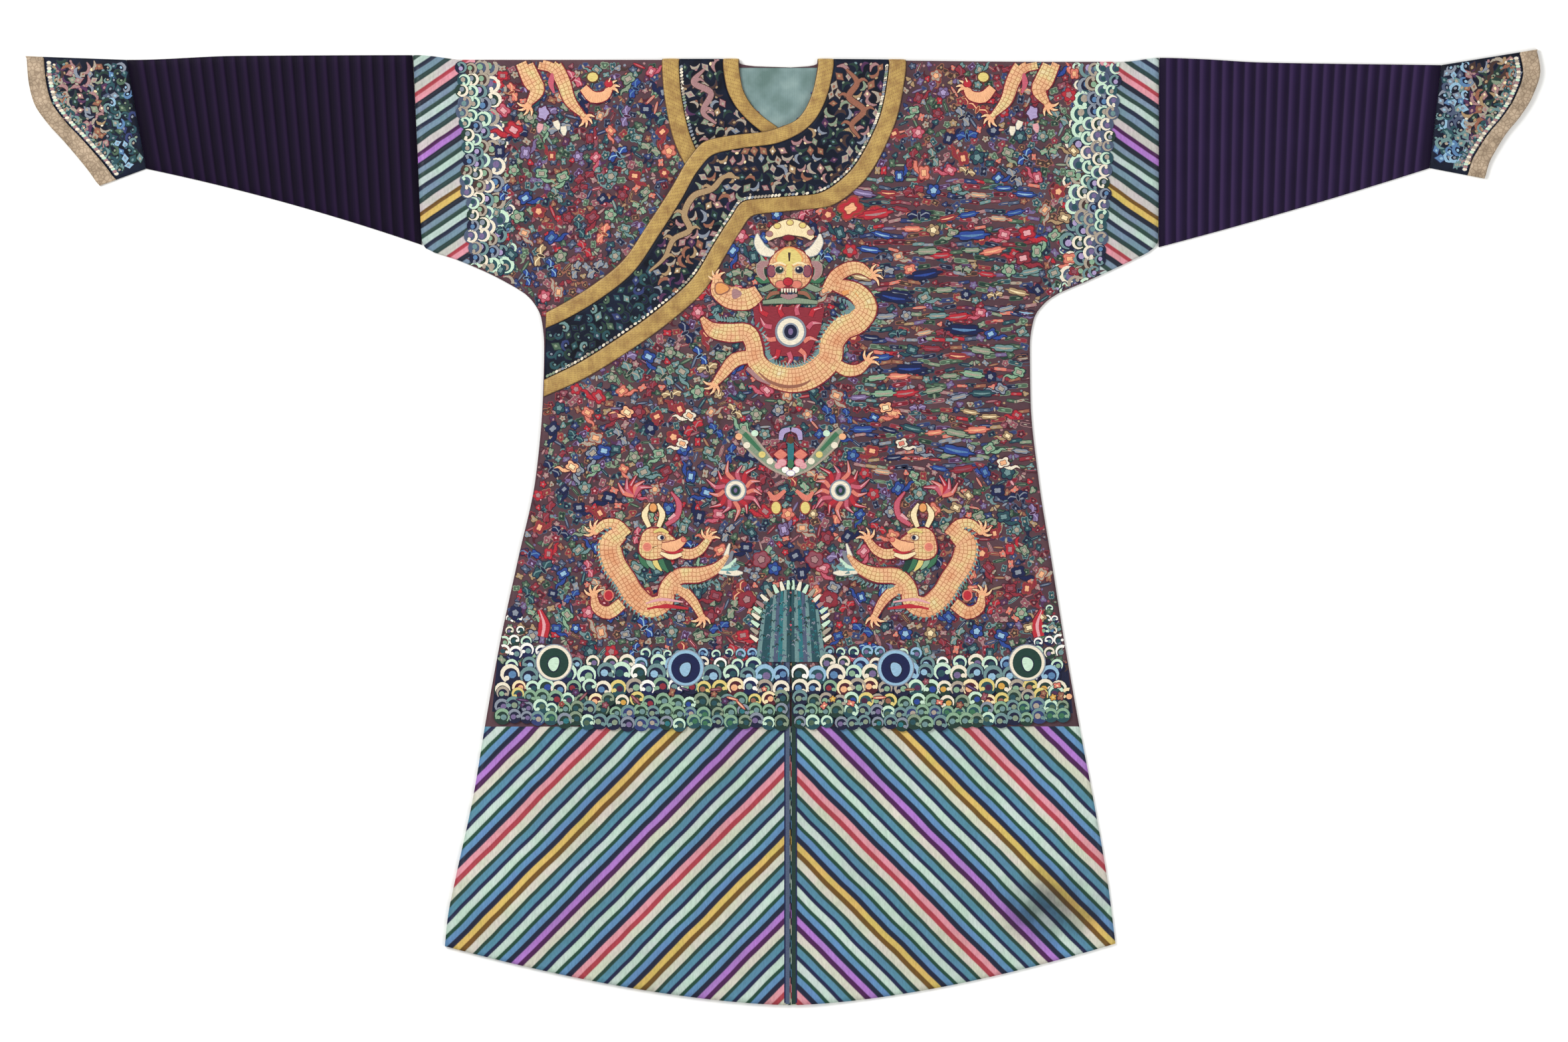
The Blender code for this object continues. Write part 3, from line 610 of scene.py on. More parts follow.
# %% Slanting lines
SKIRT_REPEAT = 0.1112  # of one accent, measured down the centre seam
SKIRT_SLOPE = 1.008
SKIRT_FIRST = (1.0436, 1.0531)  # the red accent's start below, right and left of the seam
SLEEVE_REPEAT = 0.0927
SLEEVE_SLOPE = 0.687
SLEEVE_FIRST = (-0.3193, -0.3104)
REPEATS_BEFORE = 12.0  # added, so that the count is never below nothing
CREASE_SHADE_AT = (0.40, -0.80, 0.004)  # the middle of a painted crease shadow low on the left skirt, y times 1.4
SOFT = 0.010  # how far one line's colour shades into the next, of a repeat
ROWS_LAID = 12.0  # rows of floss in a repeat
# The red, the gold and the violet accent.
ACCENTS = (("#ec9ea8", "#b43c48"), ("#e6c468", "#745014"), ("#b87ed2", "#4c1050"))
# Where each line of a repeat ends, and its colour: 0 and 1 are an accent's light and dark.
SKIRT_LINES_DRAWN = (
    (0.030, "#141d3e"), (0.135, 0), (0.230, 1), (0.365, "#dedcc8"), (0.435, "#1c4436"),
    (0.550, "#5890a8"), (0.625, "#111a46"), (0.755, "#cfe4d6"), (0.825, "#154a36"),
    (0.930, "#6494c0"), (1.000, "#101a38"),
)
SLEEVE_LINES_DRAWN = (
    (0.030, "#141c30"), (0.135, 0), (0.210, 1), (0.345, "#d4cec8"), (0.440, "#24403e"),
    (0.550, "#7c98ac"), (0.635, "#1a2440"), (0.750, "#c8dcd4"), (0.835, "#28463e"),
    (0.930, "#8098ac"), (1.000, "#141c30"),
)


def accent_stops(lines, accent):
    """The stops of one repeat: each line flat, with a short blend into the next."""
    stops = []
    start = 0.0
    for end, tone in lines:
        tone = accent[tone] if isinstance(tone, int) else tone
        stops += [(start + SOFT * (start > 0.0), tone), (end - SOFT * (end < 1.0), tone)]
        start = end
    return stops


def standing_water(name, distance, lines):
    """Lines of colour. distance(tree, across, below, left) gives a whole number a repeat."""
    material, tree, shader = new_material(name, 0.45, 0.05, gleam=0.3)
    here = place_of(tree)
    parts = add_node(tree, "ShaderNodeSeparateXYZ", Vector=here)
    drift = maths(tree, "MULTIPLY_ADD", noise(tree, here, 14.0), 0.006, -0.003)
    across = maths(tree, "ABSOLUTE", maths(tree, "SUBTRACT", parts.outputs["X"], CENTRE_X))
    below = maths(tree, "SUBTRACT", SHOULDER_Y, maths(tree, "ADD", parts.outputs["Y"], drift))
    left = maths(tree, "GREATER_THAN", parts.outputs["X"], CENTRE_X)
    count = distance(tree, across, below, left)
    share = maths(tree, "FRACT", count)
    which = maths(tree, "MODULO", maths(tree, "FLOOR", count), 3.0)
    for number, accent in enumerate(ACCENTS):
        one = ramp(tree, share, *accent_stops(lines, accent))
        if number == 0:
            colour = one
        else:
            colour = mix(tree, maths(tree, "GREATER_THAN", which, number - 0.5), colour, one)
    stitches = noise(tree, place_of(tree, (1.0, 0.25, 1.0), 0.78), 420.0, 2.0, 0.6)
    age = noise(tree, here, 6.0, 3.0)
    tint = noise(tree, place_of(tree, shift=(3.0, 1.0, 0.0)), 34.0, 2.0)
    colour = darken(tree, 0.5, colour, stitches, (0.2, "#a8a8ac"), (0.8, "#ffffff"))
    colour = darken(tree, 0.4, colour, age, (0.3, "#c8c4bc"), (0.7, "#ffffff"))
    colour = darken(tree, 0.35, colour, tint, (0.35, "#c0e0cc"), (0.65, "#ecd8f4"))
    # Painted shade of a crease: the colour is darkened round a place low on the left skirt, with a
    # noisy edge.
    pair = {"i0": place_of(tree, (1.0, 1.4, 1.0)), "i1": CREASE_SHADE_AT}
    shade_distance = add_node(tree, "ShaderNodeVectorMath", {"operation": "DISTANCE"}, **pair)
    crease_shade = maths(tree, "MULTIPLY_ADD", noise(tree, here, 30.0, 3.0), 0.10, shade_distance.outputs["Value"])
    colour = darken(tree, 1.0, colour, crease_shade, (0.06, "#9a9ca4"), (0.14, "#ffffff"))
    turns = maths(tree, "MULTIPLY", share, ROWS_LAID * math.pi)
    rows = maths(tree, "ABSOLUTE", maths(tree, "SINE", turns))
    height = maths(tree, "MULTIPLY_ADD", stitches, 0.5, rows)
    finish(tree, shader, colour, height, 0.0003, 0.7)
    return material


def skirt_count(tree, across, below, left):
    right, other = SKIRT_FIRST
    first = maths(tree, "MULTIPLY_ADD", left, right - other, REPEATS_BEFORE * SKIRT_REPEAT - right)
    slanted = maths(tree, "MULTIPLY_ADD", across, -SKIRT_SLOPE, below)
    return maths(tree, "DIVIDE", maths(tree, "ADD", slanted, first), SKIRT_REPEAT)


def sleeve_count(tree, across, below, left):
    right, other = SLEEVE_FIRST
    first = maths(tree, "MULTIPLY_ADD", left, other - right, REPEATS_BEFORE * SLEEVE_REPEAT + right)
    slanted = maths(tree, "MULTIPLY_ADD", across, SLEEVE_SLOPE, first)
    return maths(tree, "DIVIDE", maths(tree, "SUBTRACT", slanted, below), SLEEVE_REPEAT)


BODY_MATERIALS = [
    satin_ground(),
    standing_water("laid_silk_skirt_lines", skirt_count, SKIRT_LINES_DRAWN),
    standing_water("laid_silk_sleeve_lines", sleeve_count, SLEEVE_LINES_DRAWN),
]


# %% [markdown]
# ## The body
#
# Each half is one loom width from the back hem, over the shoulder, to the front hem, and the
# overlap is a third piece on top. Rows of points run from the inner edge (neck, then centre
# seam) to the outer edge (sleeve end, underarm, side), about nine millimetres apart.

# %% Body panels
GRID = 0.0088
HALF_COLUMNS = 58
SLEEVE_LINES = {"left": 0.462, "right": 0.476}  # from here out, across, the sleeve end's lines
SLEEVE_LINES_LOW = 0.40
SKIRT_LINES = 1.000
OVERLAP_TOP = 0.0985
OVERLAP_TURN = 0.146  # where the overlap's edge stops running level and slants down
OVERLAP_SIDE = 0.380


def even(start, end, step=GRID):
    return list(np.linspace(start, end, max(2, round((end - start) / step) + 1)))


def neck_edge(collar, place):
    kind, value = place
    behind = collar["edge_below"] < 0.0
    chosen = behind if kind == "back" else ~behind
    depth = np.abs(collar["edge_below"][chosen])
    order = np.argsort(depth)
    at = FOLD_BULGE if kind == "fold" else value
    return float(follow(depth[order], collar["edge_across"][chosen][order], at))


def slit(place):
    kind, value = place
    return SLIT_HALF if kind != "fold" and value > SLIT_TOP else SEAM / 2.0


def body_outer(side):
    return lambda place: row_outer(side, 0.0 if place[0] == "fold" else place[1])


def left_inner(place):
    kind, value = place
    limit = BACK_NECK if kind == "back" else LEFT_NECK
    if kind == "fold" or value < limit - 1e-6:
        return max(neck_edge(COLLAR_LEFT, place), SEAM / 2.0)
    return slit(place)


def right_inner(place):
    kind, value = place
    if kind == "back" and value > BACK_NECK - 1e-6:
        return -slit(place)
    if kind == "front" and value > RIGHT_NECK:
        return UNDER_EDGE * float(smoothstep(RIGHT_NECK, UNDER_EDGE_FULL, value))
    return neck_edge(COLLAR_RIGHT, place)


def overlap_outer(place):
    below = place[1]
    if below >= OVERLAP_SIDE:
        return row_outer("right", below)
    free = COLLAR_LEFT["edge_below"] > LEFT_NECK
    return float(follow(COLLAR_LEFT["edge_below"][free], COLLAR_LEFT["edge_across"][free], below))


def body_places():
    skirt = even(SKIRT_START, HEM_CENTRE)[1:]
    scoop = even(FOLD_BULGE, BACK_NECK, 0.0017)
    back = scoop + even(BACK_NECK, SKIRT_START)[1:] + skirt
    front = even(FOLD_BULGE, LEFT_NECK, 0.0060) + even(LEFT_NECK, SKIRT_START)[1:] + skirt
    places = [("back", depth) for depth in reversed(back)]
    places += [("fold", turn) for turn in (-0.75, -0.5, -0.25, 0.0, 0.25, 0.5, 0.75)]
    return places + [("front", depth) for depth in front]


def overlap_places():
    found = even(OVERLAP_TOP, OVERLAP_TURN, 0.0026) + even(OVERLAP_TURN, OVERLAP_SIDE)[1:]
    found += even(OVERLAP_SIDE, SKIRT_START)[1:] + even(SKIRT_START, HEM_CENTRE)[1:]
    return [("front", depth) for depth in found]


def body_region(point):
    """0 for the satin ground, 1 for the skirt's lines, 2 for the sleeve end's."""
    across, below = point.x - CENTRE_X, SHOULDER_Y - point.y
    side = "left" if across > 0.0 else "right"
    if abs(across) > SLEEVE_LINES[side] and below < SLEEVE_LINES_LOW:
        return 2
    return 1 if below > SKIRT_LINES else 0


def panel(name, node, top, places, inner_edge, outer_edge):
    shares = np.linspace(0.0, 1.0, HALF_COLUMNS + 1)
    ends = [(inner_edge(place), outer_edge(place)) for place in places]
    rows = [lay(top, a + shares * (b - a), place) for place, (a, b) in zip(places, ends)]
    return make_sheet(name, rows, BODY_MATERIALS, node, "body_silk", region=body_region)


def overlap_inner(place):
    return -slit(place)


PANELS = (
    ("robe_body_left", "body_left", over_top, body_places(), left_inner, body_outer("left")),
    ("robe_body_right", "body_right", under_top, body_places(), right_inner, body_outer("right")),
    ("robe_overlap", "front_overlap", over_top, overlap_places(), overlap_inner, overlap_outer),
)
body_cloth = [panel(*row) for row in PANELS]

# %% [markdown]
# ## The lining in the neck
#
# The neck opening shows the back's lining: a **plain-weave silk** in a pale blue grey, thin and
# slightly cockled. It is a small sheet tucked under the fronts, with slow ripples in its points.

# %% Neck lining
LINING_ROWS = even(0.0120, 0.116, 0.0040)
LINING_COLUMNS = 33
LINING_TUCK = 0.014
LINING_LIMIT = {"left": 0.099, "right": 0.103}
LINING_WALL = 0.0008
COCKLE = 0.00035
COCKLE_DOWN = 0.0001


def lining_silk():
    name = "silk_plain_weave_pale_blue"
    material, tree, shader = new_material(name, 0.45, 0.2, "#d0e8f0", gleam=0.5)
    cloudy = noise(tree, place_of(tree), 26.0, 3.0)
    shade = ramp(tree, cloudy, (0.3, "#58746e"), (0.5, "#728c8a"), (0.72, "#8ca4a0"))
    fine = woven_height(tree, 0.0016, 0.0)
    colour = darken(tree, 1.0, shade, fine, (0.0, "#e4e4e4"), (1.0, "#ffffff"))
    finish(tree, shader, colour, woven_height(tree, 0.0016, 0.0), 0.0002, 0.4)
    return material


lining_rows = []
for below in LINING_ROWS:
    left = neck_edge(COLLAR_LEFT, ("front", min(below, LINING_LIMIT["left"])))
    right = neck_edge(COLLAR_RIGHT, ("front", min(below, LINING_LIMIT["right"])))
    across = np.linspace(right - LINING_TUCK, left + LINING_TUCK, LINING_COLUMNS)
    cockle = COCKLE * np.sin(across * 190.0 + below * 70.0) * np.sin(below * 130.0)
    rise = back_bottom(across, below) + WALL + SEAM + LINING_WALL + np.maximum(cockle, -COCKLE_DOWN)
    points = (CENTRE_X + across, np.full(across.shape, SHOULDER_Y - below), rise)
    lining_rows.append(np.stack(points, axis=-1))
lining = [lining_silk()]
make_sheet("neck_lining_silk", lining_rows, lining, "neck_lining", "lining_silk", LINING_WALL)

# %% [markdown]
# ## Brocade for the collar's bands
#
# The neck binding and the wide outer band are **gold brocade**: a silk ground into which flat
# gilt strips are woven, with a small lozenge figure in dark red. Gilt paper strips are duller
# than metal, so the shader stays a dielectric with some coat of gleam, ochre in colour, and the
# lozenges are worked out along and across the band from its own map, 6 mm apart.

# %% Gold brocade
LOZENGE = 0.0062
SELVAGE = 0.0009  # the darker edge of a band
GILT, DEEP_GILT, FIGURE, EDGE_BROWN = "#be9d56", "#94703a", "#6e3c28", "#6a4c28"


def cloth_map(tree):
    return add_node(tree, "ShaderNodeUVMap", {"uv_map": "cloth"}).outputs["UV"]


def slanted_wave(tree, first, second):
    """0.5 on slanting lines a lozenge apart and 0 halfway between them."""
    across = maths(tree, "MULTIPLY", second, 1.0 / LOZENGE)
    total = maths(tree, "MULTIPLY_ADD", first, 1.0 / LOZENGE, across)
    return maths(tree, "ABSOLUTE", maths(tree, "SUBTRACT", maths(tree, "FRACT", total), 0.5))


def brocade(name, band_width):
    material, tree, shader = new_material(name, 0.42, 0.25, "#fff0c0", gleam=0.4)
    parts = add_node(tree, "ShaderNodeSeparateXYZ", Vector=cloth_map(tree))
    u, v = parts.outputs["X"], parts.outputs["Y"]
    one = slanted_wave(tree, u, v)
    other = slanted_wave(tree, u, maths(tree, "MULTIPLY", v, -1.0))
    dot = maths(tree, "MAXIMUM", one, other)
    lattice = maths(tree, "MINIMUM", one, other)
    worn = noise(tree, place_of(tree), 60.0, 3.0, 0.6)
    cloudy = ramp(tree, worn, (0.3, DEEP_GILT), (0.62, GILT))
    threads = noise(tree, place_of(tree, (1.0, 0.12, 1.0), 0.7), 900.0, 1.0)
    colour = darken(tree, 0.35, cloudy, threads, (0.3, "#9a9078"), (0.7, "#ffffff"))
    figures = ((dot, 0.15, 0.75, FIGURE), (lattice, 0.07, 0.30, DEEP_GILT))
    for height, most, share, thread in figures:
        inside = maths(tree, "LESS_THAN", height, most)
        colour = mix(tree, maths(tree, "MULTIPLY", inside, share), colour, thread)
    near = maths(tree, "MINIMUM", u, maths(tree, "SUBTRACT", band_width, u))
    colour = mix(tree, maths(tree, "LESS_THAN", near, SELVAGE), colour, EDGE_BROWN)
    finish(tree, shader, colour, maths(tree, "ADD", dot, threads), 0.0004, 0.6)
    return material


# %% [markdown]
# ## Midnight facing
#
# The collar's facing and the cuffs are a **satin dyed nearly black** over blue. It is so dark
# that it shows mostly as a soft blue sheen, so its sheen is tinted blue.


# %% Midnight satin
def midnight_satin(name):
    material, tree, shader = new_material(name, 0.5, 0.03, "#8090c0", gleam=0.12)
    shade = ramp(tree, noise(tree, place_of(tree), 40.0, 3.0), (0.3, "#070a14"), (0.7, "#141c30"))
    finish(tree, shader, shade, woven_height(tree, 0.0014), 0.0002, 0.5)
    return material


gold_binding = brocade("gilt_brocade_binding", BINDING_WIDTH)
gold_band = brocade("gilt_brocade_band", BAND_WIDTH)
facing_satin = midnight_satin("silk_satin_midnight")

# %% [markdown]
# ## The collar
#
# Three strips run side by side round the neck: the binding at its edge, the facing, and the
# outer band. They share one set of rungs that cross the collar from the neck's edge outwards,
# so that they curve together, and each strip takes its own stretch of every rung. The bands
# are slightly crowned, because a band is folded over its own seam allowances.

# %% Collar strips
RUNG_PARTS = 9
FOLD_TURNS = (-1.0, -0.75, -0.5, -0.25, 0.0, 0.25, 0.5, 0.75, 1.0)
BAND_CROWN = 0.0005
FACING_SHOWN = 0.0008
BAND_SHOWN = 0.0011


def collar_rungs(collar):
    """Rungs between the collar's rows, with its turn over the shoulder fold put in."""
    numbers = np.arange(len(collar["edge_below"]))
    at = np.linspace(0, numbers[-1], RUNG_PARTS * numbers[-1] + 1)
    smooth = [follow(numbers, collar[column], at) for column in COLLAR_COLUMNS.split()]
    last = int(np.sum(collar["edge_below"] < 0.0)) - 1
    rungs = []
    for i, (edge_across, edge_below, far_across, far_below) in enumerate(zip(*smooth)):
        kind = "back" if i <= last * RUNG_PARTS else "front"
        if kind == "back" or i >= (last + 1) * RUNG_PARTS:
            rungs.append((kind, edge_across, abs(edge_below), far_across, abs(far_below)))
        if i == last * RUNG_PARTS:
            near, far = (collar[name][last : last + 2] for name in ("edge_across", "far_across"))
            for turn in FOLD_TURNS:
                share = (turn + 1.0) / 2.0
                edge, end = (a + share * (b - a) for a, b in (near, far))
                rungs.append(("fold", edge, turn, end, turn))
    return rungs


def rung_length(rung):
    kind, edge_across, edge_below, far_across, far_below = rung
    across = far_across - edge_across
    return abs(across) if kind == "fold" else math.hypot(across, far_below - edge_below)


def lay_rung(top, rung, starts, out):
    """Points along one rung, at these distances from its edge, each raised by its own out."""
    kind, edge_across, edge_below, far_across, far_below = rung
    shares = starts / rung_length(rung)
    across = edge_across + shares * (far_across - edge_across)
    if kind == "fold":
        return np.stack([lay(top, a, ("fold", edge_below), o) for a, o in zip(across, out)])
    below = edge_below + shares * (far_below - edge_below)
    x = CENTRE_X + across
    y = SHOULDER_Y + top_line(across, below) - below
    z = top(across, below) + out if kind == "front" else back_bottom(across, below) - out
    return np.stack(np.broadcast_arrays(x, y, z), axis=-1)


def flat_across(length):
    return np.linspace(BINDING_WIDTH + SEAM, length - BAND_WIDTH - SEAM, 21)


def binding_across(_length):
    return np.linspace(0.0, BINDING_WIDTH, 9)


def band_across(length):
    return np.linspace(length - BAND_WIDTH, length, 9)


FLAT = np.full(21, TRIM_LIFT + FACING_WALL)
CROWNED = TRIM_LIFT + BAND_WALL + BAND_CROWN * (1.0 - np.linspace(-1.0, 1.0, 9) ** 4) - BAND_CROWN
STRIPS = (  # name, its stretch of a rung, heights, material, slot, wall
    ("collar_facing", flat_across, FLAT, facing_satin, "facing_silk", FACING_SHOWN),
    ("neck_binding", binding_across, CROWNED, gold_binding, "gold_brocade", BAND_SHOWN),
    ("collar_band", band_across, CROWNED, gold_band, "gold_brocade", BAND_SHOWN),
)
collar_pieces = []
for side, top, collar in (("left", over_top, COLLAR_LEFT), ("right", under_top, COLLAR_RIGHT)):
    rungs = collar_rungs(collar)
    for strip, stretch, out, material, slot, wall in STRIPS:
        name = f"{strip}_{side}"
        rows = [lay_rung(top, rung, stretch(rung_length(rung)), out) for rung in rungs]
        collar_pieces.append(make_sheet(f"{name}_cloth", rows, [material], name, slot, wall))

# %% [markdown]
# ## Pleated sleeve lengths
#
# Between the body and the cuffs the sleeves are plain **silk in a purple near black**, laid in
# two dozen narrow knife pleats so that the arm can bend. Laid flat, a sleeve is a flattened
# tube. Its rings are worked out from the line between its two folds, and each pleat lifts the
# front of the rings a little and drops back over its turned edge.

# %% Sleeves
PLEATS = 24
PLEAT_DEPTH = 0.0019
PLEAT_PROFILE = (0.0, 0.95, 1.0, 0.86, 0.62, 0.36, 0.14)
BOTTOM_BULGE = 0.0020
LEAST_HEIGHT = 0.0002
SLEEVES = {  # across at the top fold, then across and below at the lower one; bow of the lower
    "left": {"body": (0.555, 0.554, 0.282), "cuff": (0.979, 0.962, 0.163), "bow": -0.003},
    "right": {"body": (-0.569, -0.5555, 0.2785), "cuff": (-0.999, -0.9705, 0.164), "bow": 0.007},
}
RING_SHARES = np.linspace(0.0, 1.0, 27)
FOLD_STEPS = (0.6, 0.3, 0.0, -0.3, -0.6)


def tube_ring(spine, heights, raised=0.0):
    """One ring of a flattened tube: its front, its lower fold, its back and its upper fold."""
    down = spine[-1] - spine[0]
    down = down / np.linalg.norm(down)
    flare = np.sin(np.linspace(0.0, math.pi, len(spine))) ** 0.3
    points = [(p[0], p[1], h + raised * f) for p, h, f in zip(spine, heights, flare)]

    def fold(place, height, bulge, away, turns):
        half = height / 2.0
        for turn in turns:
            angle = turn * math.pi / 2.0
            bulging = place + away * (bulge * math.cos(angle))
            points.append((*bulging, half + half * math.sin(angle)))

    fold(spine[-1], heights[-1], BOTTOM_BULGE, down, FOLD_STEPS)
    points.extend(
        (p[0], p[1], LEAST_HEIGHT + 0.25 * raised * f) for p, f in zip(spine[::-1], flare)
    )
    fold(spine[0], heights[0], FOLD_BULGE, -down, FOLD_STEPS[::-1])
    return np.array(points + points[:1])


def tube_heights(spine, open_by=0.0):
    away = np.linalg.norm(spine - spine[-1], axis=1)
    return 2.0 * WALL + SEAM + PUFF * (1.0 - np.exp(-away / PUFF_REACH)) + open_by


def sleeve_line(side, share):
    """The line from the sleeve's top fold to its underarm seam, at a share of its length."""
    (body_top, *body), (cuff_top, *cuff) = SLEEVES[side]["body"], SLEEVES[side]["cuff"]
    top_across = body_top + share * (cuff_top - body_top)
    bottom = np.array(body) + share * (np.array(cuff) - np.array(body))
    bottom[1] -= SLEEVES[side]["bow"] * 4.0 * share * (1.0 - share)
    top_y = SHOULDER_Y + float(top_line(top_across, 0.0)) - FOLD_BULGE
    upper = np.array([CENTRE_X + top_across, top_y])
    lower = np.array([CENTRE_X + bottom[0], SHOULDER_Y - bottom[1] + BOTTOM_BULGE])
    return upper + RING_SHARES[:, None] * (lower - upper)


def pleat_stations():
    """Shares along the sleeve, and how far each is raised: low, up over the edge, sloping back."""
    found = [(0.0, 0.0)]
    for pleat in range(PLEATS):
        for step, raised in enumerate(PLEAT_PROFILE):
            found.append(((pleat + 0.5 + step / len(PLEAT_PROFILE)) / (PLEATS + 1), raised))
    return found + [(1.0, 0.0)]


def sleeve_silk():
    """Purple black, with a painted highlight on the pleats' raised turned edges; the wearer's right
    arm darker than the left.
    """
    material, tree, shader = new_material("silk_gauze_purple_black", 0.5, 0.03, "#8070b0", 0.08)
    here = place_of(tree)
    shade = ramp(tree, noise(tree, here, 18.0, 3.0), (0.3, "#150a26"), (0.7, "#201434"))
    side = add_node(tree, "ShaderNodeSeparateXYZ", Vector=here).outputs["X"]
    # The wearer's right arm is made darker than the left, by a ramp across x that multiplies the
    # colour.
    right_arm_darker = ramp(tree, maths(tree, "ADD", side, 0.5), (0.0, "#ae99ae"), (1.0, "#ffffff"))
    # Painted highlight: a ramp on the attribute mark, how far each pleat row is raised, lightens
    # the raised turned edges.
    edge = add_node(tree, "ShaderNodeAttribute", {"attribute_name": "mark"}).outputs["Fac"]
    stops = ((0.0, "#140a21"), (0.35, "#1a0f2a"), (0.8, "#2a1c3e"), (1.0, "#39284d"))
    pleated = mix(tree, 0.75, shade, ramp(tree, edge, *stops))
    colour = mix(tree, 1.0, pleated, right_arm_darker, "MULTIPLY")
    finish(tree, shader, colour, woven_height(tree, 0.0014, 0.0), 0.0002, 0.5)
    return material


sleeve_cloth = [sleeve_silk()]
marks = [raised for share, raised in pleat_stations()]
for side in ("left", "right"):
    end = 1.0 - SEAM / abs(SLEEVES[side]["cuff"][1] - SLEEVES[side]["body"][1])
    rows = []
    for share, raised in pleat_stations():
        spine = sleeve_line(side, share * end)
        rows.append(tube_ring(spine, tube_heights(spine), raised * PLEAT_DEPTH))
    tied = (f"sleeve_{side}", "sleeve_silk")
    make_sheet(f"sleeve_{side}_pleated", rows, sleeve_cloth, *tied, weld=True, marks=marks)

# %% [markdown]
# ## Horse-hoof cuffs
#
# A cuff flares from the sleeve's end to a slanting open edge that once covered the back of the
# hand. It is made as the sleeve is, from rings between the two folds, but its open end follows
# a curve given in a few points, and the brocade band takes the last stretch of every ring.

# %% Cuffs
CUFF_OPEN = 0.0006
CUFF_EDGES = {
    "right": table(
        "across below",
        (-1150, -6), (-1148, 25), (-1140, 62), (-1118, 96), (-1096, 120), (-1072, 148),
        (-1056, 168), (-1041, 190),
    ),
    "left": table(
        "across below",
        (1123, -16), (1128.5, 16), (1117, 54), (1099, 84), (1077, 111), (1062, 135),
        (1051, 156), (1045, 179),
    ),
}
CUFF_BAND = 0.026
CUFF_BAND_RAISED = 0.0008
CUFF_ROWS = 18
CUFF_BAND_ROWS = 7


def cuff_lines(side):
    """A cuff's sleeve seam and its hand opening, as matching lines from top to bottom."""
    edge = np.stack([CUFF_EDGES[side]["across"], CUFF_EDGES[side]["below"]], axis=1)
    length = np.concatenate([[0.0], np.cumsum(np.linalg.norm(np.diff(edge, axis=0), axis=1))])
    at = RING_SHARES * length[-1]
    x = CENTRE_X + follow(length, edge[:, 0], at)
    y = SHOULDER_Y - follow(length, edge[:, 1], at)
    y[0] -= FOLD_BULGE
    y[-1] += BOTTOM_BULGE
    return sleeve_line(side, 1.0), np.stack([x, y], axis=1)


def cuff_ring(side, share, back, raised=0.0):
    seam, opening = cuff_lines(side)
    length = np.linalg.norm(opening - seam, axis=1)
    along = share * (1.0 - back / length)
    spine = seam + along[:, None] * (opening - seam)
    return tube_ring(spine, tube_heights(spine, CUFF_OPEN * float(along.mean())) + raised)


def cuff_brocade():
    """A duller tan brocade, its figure worn nearly away."""
    name = "gilt_brocade_cuff_band"
    material, tree, shader = new_material(name, 0.5, 0.2, "#fff0d0", gleam=0.5)
    here = place_of(tree)
    kind = {"feature": "DISTANCE_TO_EDGE"}
    cells = add_node(tree, "ShaderNodeTexVoronoi", kind, Vector=here, Scale=170.0)
    figure = cells.outputs["Distance"]
    base = ramp(tree, noise(tree, here, 55.0, 3.0), (0.3, "#8e7a62"), (0.65, "#b8a288"))
    colour = darken(tree, 0.45, base, figure, (0.03, "#7c6440"), (0.16, "#ffffff"))
    finish(tree, shader, colour, figure, 0.0005, 0.6)
    return material


cuff_cloth, cuff_gold = [midnight_satin("silk_satin_midnight_cuff")], [cuff_brocade()]
cuff_pieces = []
for side in ("left", "right"):
    shares = np.linspace(0.0, 1.0, CUFF_ROWS)
    rows = [cuff_ring(side, share, CUFF_BAND + SEAM) for share in shares]
    tied = (f"cuff_{side}", "facing_silk")
    cuff_pieces.append(make_sheet(f"cuff_{side}_satin", rows, cuff_cloth, *tied, weld=True))
    backs = np.linspace(CUFF_BAND, 0.0, CUFF_BAND_ROWS)
    rows = [cuff_ring(side, 1.0, back, CUFF_BAND_RAISED) for back in backs]
    tied = (f"cuff_binding_{side}", "gold_brocade")
    make_sheet(f"cuff_binding_{side}_brocade", rows, cuff_gold, *tied, weld=True)

# %% [markdown]
# ## Silk floss
#
# The pattern is embroidered in **untwisted silk floss**: the stitches lie close side by side
# and each area shines like a small ribbon. Every colour is the same recipe with another hex
# value: low roughness for silk, and fine lines across the stitch direction, read from the
# shape's own map, that darken the colour and raise the threads. Real floss lies 0.3 mm apart;
# the lines here are 0.9 mm apart, so that they show.

# %% Floss colours
FLOSS = dict(
    white="#f4f1e8", ivory="#e9dfc8", cream="#f0dcae", straw="#dcc878", peach="#ecb083",
    apricot="#e09a5c", gold="#d2a04a", brown="#5c3a24", salmon="#d87c6a", pink="#dda0a4",
    rose="#c05a6c", red="#b52a36", crimson="#7c1c2c", brick="#8e4034", mint="#c6e2c8",
    sage="#86a88a", green="#3c7050", pine="#1d3c34", teal="#2c7078", sea="#6aa4a6",
    sky="#92b8d0", steel="#587fa8", blue="#2a4690", navy="#161e48", lilac="#a898c0",
    violet="#7c4c94", plum="#46203c", grey="#7c8088", bone="#a89c8c", sand="#a88c68",
    umber="#43302c", clay="#94604c", faded_pink="#a47c7c", dull_rose="#8c4c58",
    old_red="#8a2c38", maroon="#4c1a28", ink="#181c38", dusk="#303c6c", slate="#4c5870",
    fog="#848c98", petrol="#264c54", haze="#6c8c8c", bottle="#203830", moss="#4c6450",
    lichen="#84947c", heather="#74648c", mulberry="#502c50",
)
FLOSS_LINE = 0.0009


